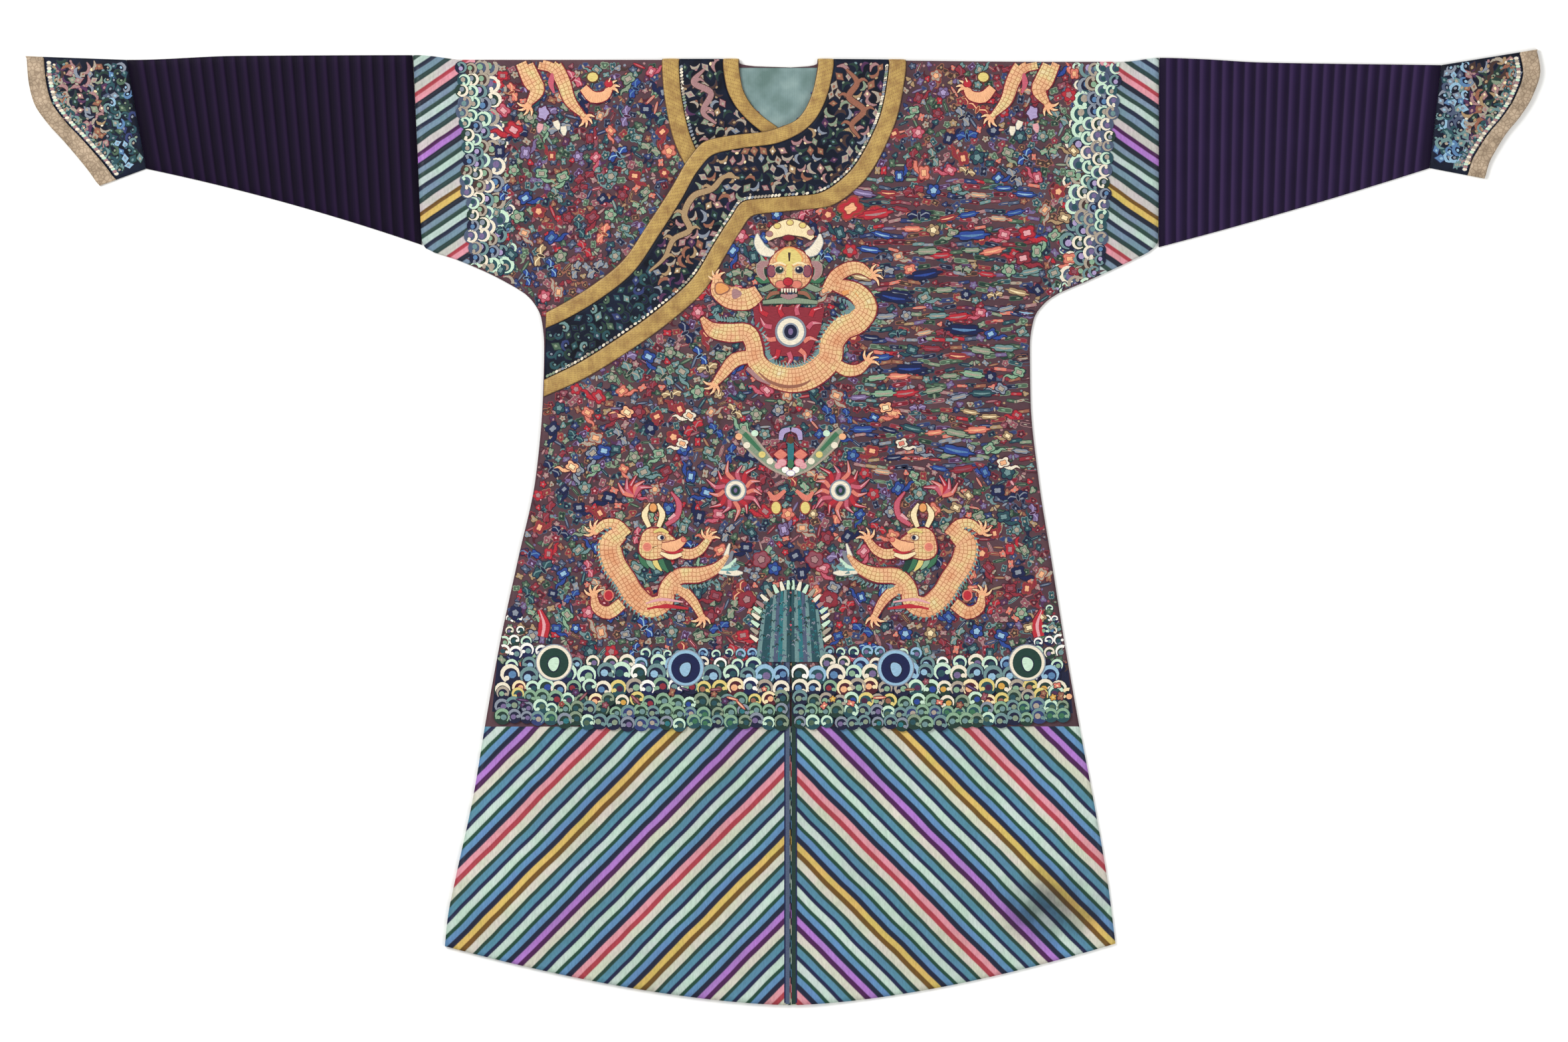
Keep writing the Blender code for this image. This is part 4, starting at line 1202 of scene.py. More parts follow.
def floss(name, hexcode):
    material, tree, shader = new_material(f"silk_floss_{name}", 0.45, 0.05)
    stretch = {"Vector": cloth_map(tree), "Scale": (0.12, 1.0, 1.0)}
    stretched = add_node(tree, "ShaderNodeMapping", **stretch).outputs["Vector"]
    lines = noise(tree, stretched, 1.0 / FLOSS_LINE, 2.0, 0.6)
    colour = darken(tree, 0.55, hexcode, lines, (0.30, "#a9a6a6"), (0.62, "#ffffff"))
    finish(tree, shader, colour, lines, 0.0003, 0.6)
    return material


def gilt_thread():
    """Gilt paper thread couched down in rows, with the dragon's scales marked in the couching."""
    material, tree, shader = new_material("couched_gilt_thread", 0.4, 0.05, "#fff0c8", 0.4)
    stitch = cloth_map(tree)
    age = noise(tree, place_of(tree), 42.0, 2.0)
    tones = ((0.30, "#dc9c70"), (0.44, "#e4b084"), (0.56, "#e6bf8a"), (0.68, "#dec88c"))
    tone = ramp(tree, age, *tones, (0.80, "#e8d8b0"))
    cell = {"Vector": stitch, "Scale": 165.0, "Randomness": 0.3}
    scales = add_node(tree, "ShaderNodeTexVoronoi", {"feature": "DISTANCE_TO_EDGE"}, **cell)
    edge = ramp(tree, scales.outputs["Distance"], (0.02, "#b08058"), (0.14, "#ffffff"))
    rows = noise(tree, stitch, 900.0, 1.0)
    colour = mix(tree, 0.8, tone, edge, "MULTIPLY")
    colour = darken(tree, 0.4, colour, rows, (0.3, "#b8b0a4"), (0.65, "#ffffff"))
    height = maths(tree, "ADD", scales.outputs["Distance"], rows)
    finish(tree, shader, colour, height, 0.0005, 0.6)
    return material


FLOSS_MATERIALS = [floss(name, hexcode) for name, hexcode in FLOSS.items()] + [gilt_thread()]
FLOSS_NUMBER = {name: number for number, name in enumerate((*FLOSS, "gilt"))}

# %% [markdown]
# ## Drawing with a needle
#
# Nearly every shape in the pattern is one of two: a *stroke*, a ribbon of stitches that swells
# and narrows along a curve, or a *patch*, a filled outline with a rim of another colour. A
# stroke is a `create_grid` strip moved onto its curve. A patch is a `create_circle` whose
# radius follows a formula, with its rim made by an inset. Both are slightly domed, as padded
# satin stitch is. They are drawn in millimetres round their own middle, with y upwards.

# %% Strokes and patches
MM = 0.001
NOTHING = 1e-9
RIM_UNDER = 0.12  # a stroke's rim lies this much under it, and is nearly flat
RIM_DOME = 0.1


def curve_through(points, count):
    """count points on a smooth curve through these, with even steps between the given ones."""
    points = np.asarray(points, float)
    if len(points) == 2:
        return points[0] + np.linspace(0.0, 1.0, count)[:, None] * (points[1] - points[0])
    before = 2.0 * points[0] - points[1]
    after = 2.0 * points[-1] - points[-2]
    p = np.vstack([before, points, after])
    at = np.linspace(0.0, len(points) - 1.0 - NOTHING, count)
    i = at.astype(int) + 1
    t = (at - (i - 1))[:, None]
    a, b, c, d = p[i - 1], p[i], p[i + 1], p[i + 2]
    square, cube = (2 * a - 5 * b + 4 * c - d) * t**2, (3 * b - a - 3 * c + d) * t**3
    return 0.5 * (2 * b + (c - a) * t + square + cube)


def unit_run(path):
    """The direction along each point of a path."""
    run = np.gradient(path, axis=0)
    return run / np.maximum(np.linalg.norm(run, axis=1, keepdims=True), NOTHING)


def new_pattern():
    """An empty drawing. Its map "cloth" holds metres along and across the stitches."""
    bm = bmesh.new()
    bm.loops.layers.uv.new("cloth")
    return bm


def stroke(bm, points, widths, colour, lift=0.30, dome=0.35, steps=None, sides=2):
    """A ribbon of stitches along a curve. widths are its full widths, spread evenly along it."""
    layer = bm.loops.layers.uv.verify()
    steps = steps or max(3, 3 * (len(points) - 1))
    path = curve_through(points, steps + 1)
    run = unit_run(path)
    side = np.stack([-run[:, 1], run[:, 0]], axis=1)
    shares = np.linspace(0.0, 1.0, steps + 1)
    half = np.interp(shares, np.linspace(0.0, 1.0, len(widths)), widths) / 2.0
    along = np.concatenate([[0.0], np.cumsum(np.linalg.norm(np.diff(path, axis=0), axis=1))])
    grid = bmesh.ops.create_grid(bm, x_segments=steps, y_segments=sides, size=1.0)["verts"]
    places = {}
    for vert in grid:
        i = int(round((vert.co.x + 1.0) / 2.0 * steps))
        v = vert.co.y
        flat = path[i] + side[i] * half[i] * v
        places[vert] = (v * half[i] * MM, along[i] * MM)
        vert.co = (flat[0] * MM, flat[1] * MM, (lift + dome * (1.0 - v * v)) * MM)
    for face in {face for vert in grid for face in vert.link_faces}:
        face.material_index = FLOSS_NUMBER[colour]
        for loop in face.loops:
            loop[layer].uv = places[loop.vert]


def outlined(bm, points, widths, colour, rim, lift=0.30, edge=1.6, steps=None, dome=0.35, sides=2):
    """A stroke with another colour showing all along both sides."""
    wider = [width + 2.0 * edge for width in widths]
    stroke(bm, points, wider, rim, lift - RIM_UNDER, RIM_DOME, steps, sides)
    stroke(bm, points, widths, colour, lift, dome, steps, sides)


def patch(
    bm, centre, size, colour, rim=None, shape=None, turn=0.0, segments=16, lift=0.30,
    rim_share=0.22, dome=0.3, rings=0,
):
    """A filled outline. size is its half width and half height, shape its radius by angle.

    Wide patches take a few rings, so that they can follow the cloth between their edges."""
    layer = bm.loops.layers.uv.verify()
    circle = bmesh.ops.create_circle(bm, cap_ends=True, segments=segments, radius=1.0)["verts"]
    cos_turn, sin_turn = math.cos(turn), math.sin(turn)
    for vert in circle:
        angle = math.atan2(vert.co.y, vert.co.x)
        reach = shape(angle) if shape else 1.0
        x, y = size[0] * reach * math.cos(angle), size[1] * reach * math.sin(angle)
        flat = (centre[0] + x * cos_turn - y * sin_turn, centre[1] + x * sin_turn + y * cos_turn)
        vert.co = (flat[0] * MM, flat[1] * MM, lift * MM)
    face = circle[0].link_faces[0]
    face.normal_update()
    if face.normal.z < 0.0:
        face.normal_flip()
    face.material_index = FLOSS_NUMBER[colour]
    made = [face]

    def inset(share, height):
        sizes = {"thickness": share * min(size) * MM, "depth": height * MM}
        found = bmesh.ops.inset_individual(bm, faces=[face], **sizes)["faces"]
        made.extend(found)
        return found

    if rim:
        for edge_face in inset(rim_share, dome):
            edge_face.material_index = FLOSS_NUMBER[rim]
    left = 1.0 - (rim_share if rim else 0.0)
    for _ in range(rings):
        inset(left / (rings + 1.0), 0.3 * dome)
    if rings:
        made.extend(bmesh.ops.poke(bm, faces=[face])["faces"])
    for part in made:
        if part.is_valid:
            for loop in part.loops:
                loop[layer].uv = (loop.vert.co.x, loop.vert.co.y)


def lobes(count, depth, phase=0.0):
    return lambda angle: 1.0 + depth * math.cos(count * angle + phase)


def scallops(count, depth):
    """A radius by angle with round lobes that meet in creases, the first crease straight up."""
    return lambda angle: 1.0 - depth * (1.0 - abs(math.sin(0.5 * count * (angle - math.pi / 2.0))))


# %% [markdown]
# ## Laying a pattern on the cloth
#
# A drawing is flat, in millimetres from the point where the centre seam meets the shoulder
# fold, with x towards the wearer's left and y upwards. To lay it, every point is dropped
# straight down onto the cloth with a ray, and set down at the height where it lands plus its
# own small thickness, so the stitches follow each crease. For the back the ray comes from
# below, and the stitches are pressed flat, because the robe's own weight rests on them.
# Points that miss the cloth are cut away with their faces. A shape that is used often is
# drawn once and stamped.

# %% Stamping and laying
FAR = 0.2
PRESSED = 1.5 * MM  # relief this high is pressed to half the room under the back
LEAST_ROOM = 0.0001  # less than this under the back and no stitch fits
LOWEST = 0.0026  # a front point lower than this has fallen past an edge, onto the layers below
HALFWAY = 0.004  # cloth higher than this is a front


def drawing(draw, *args):
    """A small mesh with one drawing in it, to be stamped as often as it is needed."""
    bm = new_pattern()
    draw(bm, *args)
    mesh = bpy.data.meshes.new(draw.__name__)
    bm.to_mesh(mesh)
    bm.free()
    return mesh


def threads(text):
    """Sets of floss colours from a list of their names, a comma between two sets."""
    return [tuple(names.split()) for names in text.split(",")]


def drawings(tones, *shapes):
    return [drawing(shape, *colours) for colours in tones for shape in shapes]


def stamp(bm, mesh, x, y, turn=0.0, size=1.0, mirror=False, lift=0.0):
    """Adds a copy of a drawing, its middle at x, y and lift in millimetres."""
    copy = mesh.copy()
    place = Matrix.Translation((x * MM, y * MM, lift * MM)) @ Matrix.Rotation(turn, 4, "Z")
    copy.transform(place @ Matrix.Diagonal((-size if mirror else size, size, 1.0, 1.0)))
    if mirror:
        copy.flip_normals()
    bm.from_mesh(copy)
    bpy.data.meshes.remove(copy)


def tree_of(objects):
    """One search tree over the outer faces of some cloth pieces."""
    places = []
    faces = []
    for obj in objects:
        first = len(places)
        places.extend(vert.co.copy() for vert in obj.data.vertices)
        faces.extend(tuple(first + v for v in face.vertices) for face in obj.data.polygons)
    return BVHTree.FromPolygons(places, faces)


BODY_TREE = tree_of(body_cloth)
COLLAR_TREE = tree_of(collar_pieces)
FACING_TREE = tree_of(piece for piece in collar_pieces if piece.name.startswith("collar_facing"))
CUFF_TREE = tree_of(cuff_pieces)


def cloth_under(tree, x, y, behind=False):
    """The height of the cloth at a place, or None beside it."""
    if abs(x - CENTRE_X) < SEAM:
        x = CENTRE_X + 3.0 * SEAM  # not down the crack of the centre seam
    start = Vector((x, y, -FAR if behind else FAR))
    hit = tree.ray_cast(start, Vector((0.0, 0.0, 1.0 if behind else -1.0)))[0]
    if hit is None or hit.z < (LEAST_ROOM if behind else LOWEST):
        return None
    return hit.z


def covered(tree, x, y, behind):
    """Whether this cloth lies at a place of a drawing, on the side that is being worked."""
    found = cloth_under(tree, CENTRE_X + x * MM, SHOULDER_Y + y * MM, behind)
    return found is not None and (found > HALFWAY) != behind


def raise_all(bm, lift):
    bmesh.ops.translate(bm, vec=(0.0, 0.0, lift * MM), verts=bm.verts)


def lay_pattern(bm, name, tree, slot, behind=False):
    """Lays a drawing on the cloth, in front or behind, and makes it a piece of the robe."""
    bmesh.ops.translate(bm, vec=(CENTRE_X, SHOULDER_Y, 0.0), verts=bm.verts)
    if behind:
        bmesh.ops.reverse_faces(bm, faces=bm.faces)
    missed = []
    for vert in bm.verts:
        height = cloth_under(tree, vert.co.x, vert.co.y, behind)
        if height is None:
            missed.append(vert)
        elif behind:
            vert.co.z = height / (1.0 + vert.co.z / PRESSED)
        else:
            vert.co.z += height
    bmesh.ops.delete(bm, geom=missed, context="VERTS")
    used = sorted({face.material_index for face in bm.faces})
    for face in bm.faces:
        face.material_index = used.index(face.material_index)
    triangles = sum(len(face.verts) - 2 for face in bm.faces)
    obj = join_scene(name, bm, [FLOSS_MATERIALS[number] for number in used])
    settle_piece(obj, None, slot)
    print(f"{name}: {triangles} triangles, {len(missed)} points beside the cloth")


# %% [markdown]
# ## Clouds, bats and blossoms
#
# The ground between the dragons is filled edge to edge with small five-coloured clouds, red
# bats and blossoms, in colours that have faded. Each is a couple of dozen faces, drawn in
# several sets of colours. Thousands are stamped on a staggered grid with a little seeded
# unevenness, so that no two places look alike and every run gives the same. A thinner layer
# of larger, brighter ones lies over them, and the back has the same a little larger.


# %% Small motifs
def head(
    bm, at, size, fill, rim, lobed, depth, turn=0.0, segments=16, lift=0.12, rim_share=0.2, dome=0.2
):
    """The scalloped body that most motifs have."""
    shape = scallops(lobed, depth)
    patch(bm, at, size, fill, rim, shape, turn, segments, lift, rim_share, dome)


def heart(bm, at, size, light, segments=5, lift=0.4):
    patch(bm, at, size, light, segments=segments, lift=lift)


def cloud(bm, fill, rim, light):
    head(bm, (0, 0), (7.6, 5.6), fill, rim, 4, 0.34, 0.5)
    heart(bm, (0.4, -0.5), (2.0, 1.4), light)


def long_cloud(bm, fill, rim, light):
    head(bm, (0, 0), (11.5, 3.8), fill, rim, 4, 0.26, rim_share=0.24)
    heart(bm, (2, 0), (3.0, 0.9), light)


def bat(bm, fill, rim, light):
    for side in (-1.0, 1.0):
        wing = (side * 4.4, 1.0)
        head(bm, wing, (4.8, 3.6), fill, rim, 3, 0.3, -0.5 * side, 9, rim_share=0.24)
    heart(bm, (0, -0.5), (1.4, 3.8), light, 6, 0.45)


def blossom(bm, fill, rim, light):
    head(bm, (0, 0), (6.4, 6.0), fill, rim, 5, 0.3, segments=15)
    heart(bm, (0, 0), (1.7, 1.6), light, 6)


def tailed_cloud(bm, fill, rim, light):
    stroke(bm, [(1, -1), (6, -3.8), (11, -1.5)], (5.0, 3.2, 0.8), rim, 0.14, 0.1, 4, 1)
    head(bm, (-2, 0.5), (6.2, 5.2), fill, rim, 3, 0.34, 0.3, 12, 0.22, 0.22)
    heart(bm, (-2.4, 0.2), (1.7, 1.5), light, lift=0.5)


def leaf(bm, fill, rim, light):
    patch(bm, (0, 0), (8.0, 3.0), fill, rim, lobes(2, 0.2), 0.0, 12, 0.12, 0.28, 0.2)
    stroke(bm, [(-5, 0), (5, 0)], (1.2, 0.6), light, 0.4, 0.0, 1, 1)


def speck(bm, fill):
    heart(bm, (0, 0), (1.9, 1.7), fill, 6, 0.10)


def great_cloud(bm, fill, rim, light):
    """A larger cloud: a tail, an outlined head of four lobes, and a lighter heart in it."""
    tail = [(2, -3), (9, -6), (15, -3), (20, -5)]
    outlined(bm, tail, (5.0, 4.0, 2.6, 0.6), fill, rim, 0.16, 1.0, 8, 0.15, 1)
    head(bm, (0, 0), (9.5, 7.6), fill, rim, 4, 0.32, 0.4, 24, 0.3, 0.16)
    head(bm, (0, -0.3), (5.0, 3.8), light, rim, 4, 0.26, 0.4, 12, 0.55, 0.16, 0.15)


def great_blossom(bm, fill, rim, light):
    head(bm, (0, 0), (9.2, 8.8), fill, rim, 5, 0.3, 0.2, 25, 0.3, 0.14)
    head(bm, (0, 0), (4.6, 4.4), light, rim, 5, 0.2, 0.8, 15, 0.55, 0.16, 0.15)


def great_bat(bm, fill, rim, light):
    for side in (-1.0, 1.0):
        wing = (side * 7.0, 1.5)
        head(bm, wing, (7.6, 5.4), fill, rim, 4, 0.3, -0.4 * side, 16, 0.3, 0.18)
        bone = [(side * 1.5, 0.0), (side * 8.0, 3.0), (side * 12.0, 1.0)]
        stroke(bm, bone, (1.2, 1.6, 0.5), light, 0.6, 0.05, 4, 1)
    patch(bm, (0, -0.5), (2.0, 5.4), rim, light, lobes(2, 0.1), 0.0, 10, 0.6, 0.25, 0.15)


def long_bank(bm, fill, rim, light):
    """A long level cloud bank of five lobes with a lighter core."""
    head(bm, (0, 0), (16.0, 4.8), fill, rim, 6, 0.24, 0.0, 24, 0.3)
    stroke(bm, [(-9, 0.3), (0, -0.5), (9, 0.3)], (0.8, 2.2, 0.8), light, 0.6, 0.05, 6, 1)


# %% The motifs in their colours
TONES = threads(
    "old_red maroon faded_pink, old_red clay sand, old_red dull_rose bone, red maroon faded_pink,"
    "dull_rose maroon faded_pink, dull_rose faded_pink bone, clay maroon sand,"
    "crimson dull_rose pink, maroon old_red faded_pink, salmon maroon bone,"
    "faded_pink maroon bone, ink slate fog, dusk ink fog, dusk slate bone, slate ink fog,"
    "ink petrol haze, petrol haze bone, petrol ink haze, bottle moss lichen, moss bottle lichen,"
    "lichen bottle bone, haze bottle bone, moss lichen sage, fog umber bone,"
    "heather mulberry fog, mulberry heather lilac, mulberry maroon faded_pink, bone umber clay,"
    "sand umber bone, umber clay sand"
)
BRIGHT_TONES = threads(
    "red crimson faded_pink, salmon brick peach, rose crimson pink, old_red maroon dull_rose,"
    "old_red brick peach, blue navy steel, navy ink fog, blue ink sky, petrol ink haze,"
    "haze bottle bone, sage pine bone, lichen bottle bone, bone brick peach, sand umber cream,"
    "heather plum lilac, fog ink bone"
)
SPECK_TONES = threads(
    "lichen, faded_pink, clay, old_red, haze, sand, heather, fog, dull_rose, moss, slate"
)
SMALL_SHAPES = (cloud, cloud, tailed_cloud, bat, blossom, leaf, cloud, tailed_cloud)
GREAT_SHAPES = (great_cloud, great_blossom, great_cloud, great_bat)
SMALL = [drawings([tones], *SMALL_SHAPES) for tones in TONES]
LONG = [drawings([tones], long_cloud) for tones in TONES]
BRIGHT = [drawings([tones], *GREAT_SHAPES) for tones in BRIGHT_TONES]
BRIGHT_LONG = [drawings([tones], long_bank) for tones in BRIGHT_TONES]
SPECK = drawings(SPECK_TONES, speck)
print(sum(map(len, SMALL + LONG + BRIGHT + BRIGHT_LONG)) + len(SPECK), "drawings to stamp")

# %% Large motifs whose place is chosen
PLACED = (  # across, below, size, colours
    (90, 223, 2.4, "red brick peach"), (128, 232, 1.8, "red crimson faded_pink"),
    (-370, 525, 1.3, "ivory brick peach"), (-246, 530, 1.3, "peach maroon cream"),
    (-152, 535, 1.3, "ivory umber peach"), (143, 523, 1.3, "peach maroon cream"),
    (167, 577, 1.2, "ivory umber salmon"), (-163, 577, 1.2, "ivory maroon peach"),
    (320, 606, 1.3, "ivory maroon peach"), (-329, 612, 1.3, "peach maroon cream"),
    (-281, 588, 1.4, "blue navy sky"), (155, 358, 1.9, "navy ink blue"),
    (273, 264, 1.9, "blue ink steel"), (179, 465, 1.8, "navy ink blue"),
    (261, 406, 2.0, "navy ink steel"), (250, 588, 1.9, "blue ink steel"),
    (202, 323, 1.8, "navy ink blue"), (-417, 105, 1.7, "red crimson pink"),
    (356, 260, 1.6, "red crimson pink"), (350, 298, 1.6, "old_red maroon pink"),
)
PLACED_LIFT = 0.35
BANK_FROM, BANK_TO, BANK_SIZE = 100, 300, 1.7  # across: large ones here are long banks


def place_chosen(bm):
    for x, below, size, names in PLACED:
        shape = long_bank if BANK_FROM < x < BANK_TO and size > BANK_SIZE else great_cloud
        turn = 0.2 * math.sin(x)
        stamp(bm, drawing(shape, *names.split()), x, -below, turn, size, x < 0, PLACED_LIFT)


# %% Where the ground is filled
FILL_STEP = (15.0, 12.0)
BRIGHT_STEP = (36.0, 30.0)
BACK_SPREAD = 1.12  # the back's motifs are this much larger and further apart
UNEVEN = 0.22  # of a step
TINT_REACH = 70.0  # how far one family of colours holds before another takes over
BACK_TINT = 40.0  # far enough from the front's family that the two sides differ
FILL_SIZE = (0.9, 1.25)
BRIGHT_SIZE = (0.95, 1.4)
BRIGHT_LIFT = 0.35
FILL_TOP = 6.0
FILL_END = 922.0
FILL_HALF = 500.0
SIDE_CLEAR = 3.0
SLEEVE_CLEAR = 30.0
SLEEVE_LOW = 360.0
LEVEL_BOX = (100.0, 370.0, 180.0, 620.0)  # across from, to, below from, to: long level clouds


def filled(x, below):
    """Whether the small motifs reach this place: not the sleeve ends, nor past the side edges."""
    side = "left" if x > 0.0 else "right"
    if below < SLEEVE_LOW and abs(x) > SLEEVE_LINES[side] / MM - SLEEVE_CLEAR:
        return False
    return abs(x) < float(side_half(side, below * MM)) / MM - SIDE_CLEAR


def tinted(chance, kinds, x, y, behind):
    """Picks a drawing, more often from the family of colours that holds round this place."""
    here = tone_noise(Vector((x / TINT_REACH, y / TINT_REACH, BACK_TINT if behind else 0.0)))
    middle = min(max(0.5 + 0.9 * here, 0.0), 1.0)
    pick = chance.gauss(middle, 0.13) if chance.random() < 0.55 else chance.random()
    return chance.choice(kinds[int(min(max(pick, 0.0), 0.999) * len(kinds))])


def staggered(chance, step, uneven):
    """Places on a staggered grid over the whole ground, a little uneven."""
    columns = int(FILL_HALF / step[0])
    for row in range(int((FILL_END - FILL_TOP) / step[1])):
        for column in range(-columns, columns + 1):
            x = (column + 0.5 * (row % 2)) * step[0] + chance.uniform(-uneven, uneven)
            yield x, -FILL_TOP - (row + 0.5) * step[1] + chance.uniform(-uneven, uneven)


def fill_ground(bm, chance, behind, kinds, longs, step, sizes):
    """Stamps one kind of motif all over the ground. A share of the chest has long level ones."""
    left, right, top, low = LEVEL_BOX
    count = 0
    for x, y in staggered(chance, step, UNEVEN * step[0]):
        level = left < x < right and top < -y < low
        shape = tinted(chance, longs if level and chance.random() < 0.6 else kinds, x, y, behind)
        turn = chance.uniform(-0.25, 0.25) if level else chance.uniform(-1.4, 1.4)
        size = chance.uniform(*sizes)
        dot = (chance.choice(SPECK), x + step[0] / 2.0, y + chance.uniform(-5.0, 5.0))
        if not filled(x, -y) or covered(COLLAR_TREE, x, y, behind):
            continue
        stamp(bm, shape, x, y, turn, size, chance.random() < 0.5)
        if kinds is SMALL and not behind:
            stamp(bm, *dot, turn, size)
        count += 1
    print(count, "motifs", "behind" if behind else "in front")


def spread(wider, *pairs):
    return [tuple(number * wider for number in pair) for pair in pairs]


for side, behind, seed, wider in (("front", False, 11, 1.0), ("back", True, 12, BACK_SPREAD)):
    small, great = spread(wider, FILL_STEP, FILL_SIZE), spread(wider, BRIGHT_STEP, BRIGHT_SIZE)
    sky = new_pattern()
    fill_ground(sky, random.Random(seed), behind, SMALL, LONG, *small)
    lay_pattern(sky, f"clouds_{side}", BODY_TREE, "body_silk", behind)
    high = new_pattern()
    fill_ground(high, random.Random(seed + 50), behind, BRIGHT, BRIGHT_LONG, *great)
    place_chosen(high)
    raise_all(high, BRIGHT_LIFT)
    lay_pattern(high, f"great_clouds_{side}", BODY_TREE, "body_silk", behind)

# %% [markdown]
# ## Mountain and sea
#
# At the foot of the world a mountain stands on the centre seam, and the sea breaks round it:
# white-edged **breakers** that curl over, spray, discs of foam, and below them rows of small
# round waves that meet the standing water. The two halves are worked alike but not stitch for
# stitch, as on the two loom widths, so each draws its own unevenness. A wave is a round body
# with an arc of foam over it, and each row lies a little over the one above, as fish scales
# do. The mountain's half is upright bands of stitches under one outline, with pale tips.


# %% Breakers and foam
def breaker(bm, foam, body, bright, radius=12.0):
    """A wave: a dark round body, an arc of foam that ends in a bead, and a bright heart."""
    patch(bm, (0, 0), (radius, 0.96 * radius), body, segments=14, lift=0.15)
    turn = np.radians(np.linspace(215, -35, 7))
    over = [(0.76 * radius * math.cos(a), 0.76 * radius * math.sin(a)) for a in turn]
    widths = (1.2, 0.30 * radius, 0.38 * radius, 0.34 * radius, 1.4)
    stroke(bm, over, widths, foam, 0.25, 0.15, 10, 1)
    heart(bm, (0.42 * radius, -0.18 * radius), (0.24 * radius, 0.22 * radius), foam, 7, 0.3)
    heart(bm, (-0.16 * radius, -0.06 * radius), (0.36 * radius, 0.34 * radius), bright, 8, 0.27)


def foam_disc(bm, outer, inner, middle, radius=28.0):
    sizes = [(wide * radius, high * radius) for wide, high in ((1, 1), (0.78, 0.8), (0.34, 0.44))]
    patch(bm, (0, 0), sizes[0], outer, "fog", None, 0.0, 36, 0.9, 0.06, 0.3, 1)
    patch(bm, (0, -0.5), sizes[1], inner, None, None, 0.0, 32, 1.3, 0.1, 0.3, 1)
    patch(bm, (0.5, -2.0), sizes[2], middle, "ink", lobes(3, 0.06), 0.3, 18, 1.8, 0.16, 0.3, 1)


BREAKERS, SPRAY, MIDDLE, RIPPLES = (
    drawings(threads(names), breaker)
    for names in (
        "mint ink petrol, white navy haze, ivory ink steel, mint navy sage, white bottle petrol,"
        "ivory bottle heather",
        "sky navy steel, mint navy petrol, haze ink sky, sky petrol heather",
        "straw bottle clay, mint petrol mulberry, ivory bottle gold, sage ink old_red,"
        "cream maroon peach, mint bottle blue, straw petrol plum, bone ink sage",
        "lichen bottle petrol, sage bottle haze, haze ink lichen, sage petrol green,"
        "fog ink heather, fog bottle teal, mint petrol moss, haze dusk bone",
    )
)
TREASURE_TONES = threads(
    "old_red clay sand, clay maroon sand, gold umber straw, dull_rose maroon faded_pink,"
    "mulberry ink heather, salmon maroon cream"
)
TREASURES = [piece for shape in (cloud, blossom, leaf) for piece in drawings(TREASURE_TONES, shape)]

# %% The sea along the skirt
WIDE = 14.0  # a row that starts this far out bends with the hem
SEA_ROWS = (  # below, from and to across (under nothing: in from the side), step, sizes, drawings
    (824.0, -9.0, 0.0, 12.0, 0.45, 0.6, BREAKERS),
    (841.0, -15.0, 0.0, 13.0, 0.5, 0.7, BREAKERS),
    (858.0, -22.0, 0.0, 15.0, 0.55, 0.8, BREAKERS),
    (874.0, -34.0, 0.0, 17.0, 0.65, 0.9, BREAKERS),
    (891.0, -60.0, 0.0, 19.0, 0.75, 1.05, BREAKERS),
    (893.0, 58.0, -210.0, 18.0, 0.6, 0.85, SPRAY),
    (909.0, 56.0, 0.0, 24.0, 0.85, 1.2, SPRAY + BREAKERS),
    (925.0, WIDE, 0.0, 27.0, 1.15, 1.5, SPRAY + BREAKERS),
    (945.0, WIDE, 0.0, 22.0, 0.95, 1.25, BREAKERS[:3] + MIDDLE),
    (962.0, WIDE, 0.0, 20.0, 0.9, 1.15, MIDDLE + RIPPLES[:3]),
    (978.0, WIDE, 0.0, 19.0, 0.85, 1.1, RIPPLES),
    (994.0, WIDE, 0.0, 19.0, 0.85, 1.1, RIPPLES),
)
DISCS = ((158.0, 915.0, "sky navy sky"), (356.0, 907.0, "ivory pine mint"))
ROW_LIFT = 0.30
DISC_LIFT = 7.0 * ROW_LIFT
TREASURES_DROPPED = 15


def in_row(chance, step):
    return step * chance.uniform(0.85, 1.15)


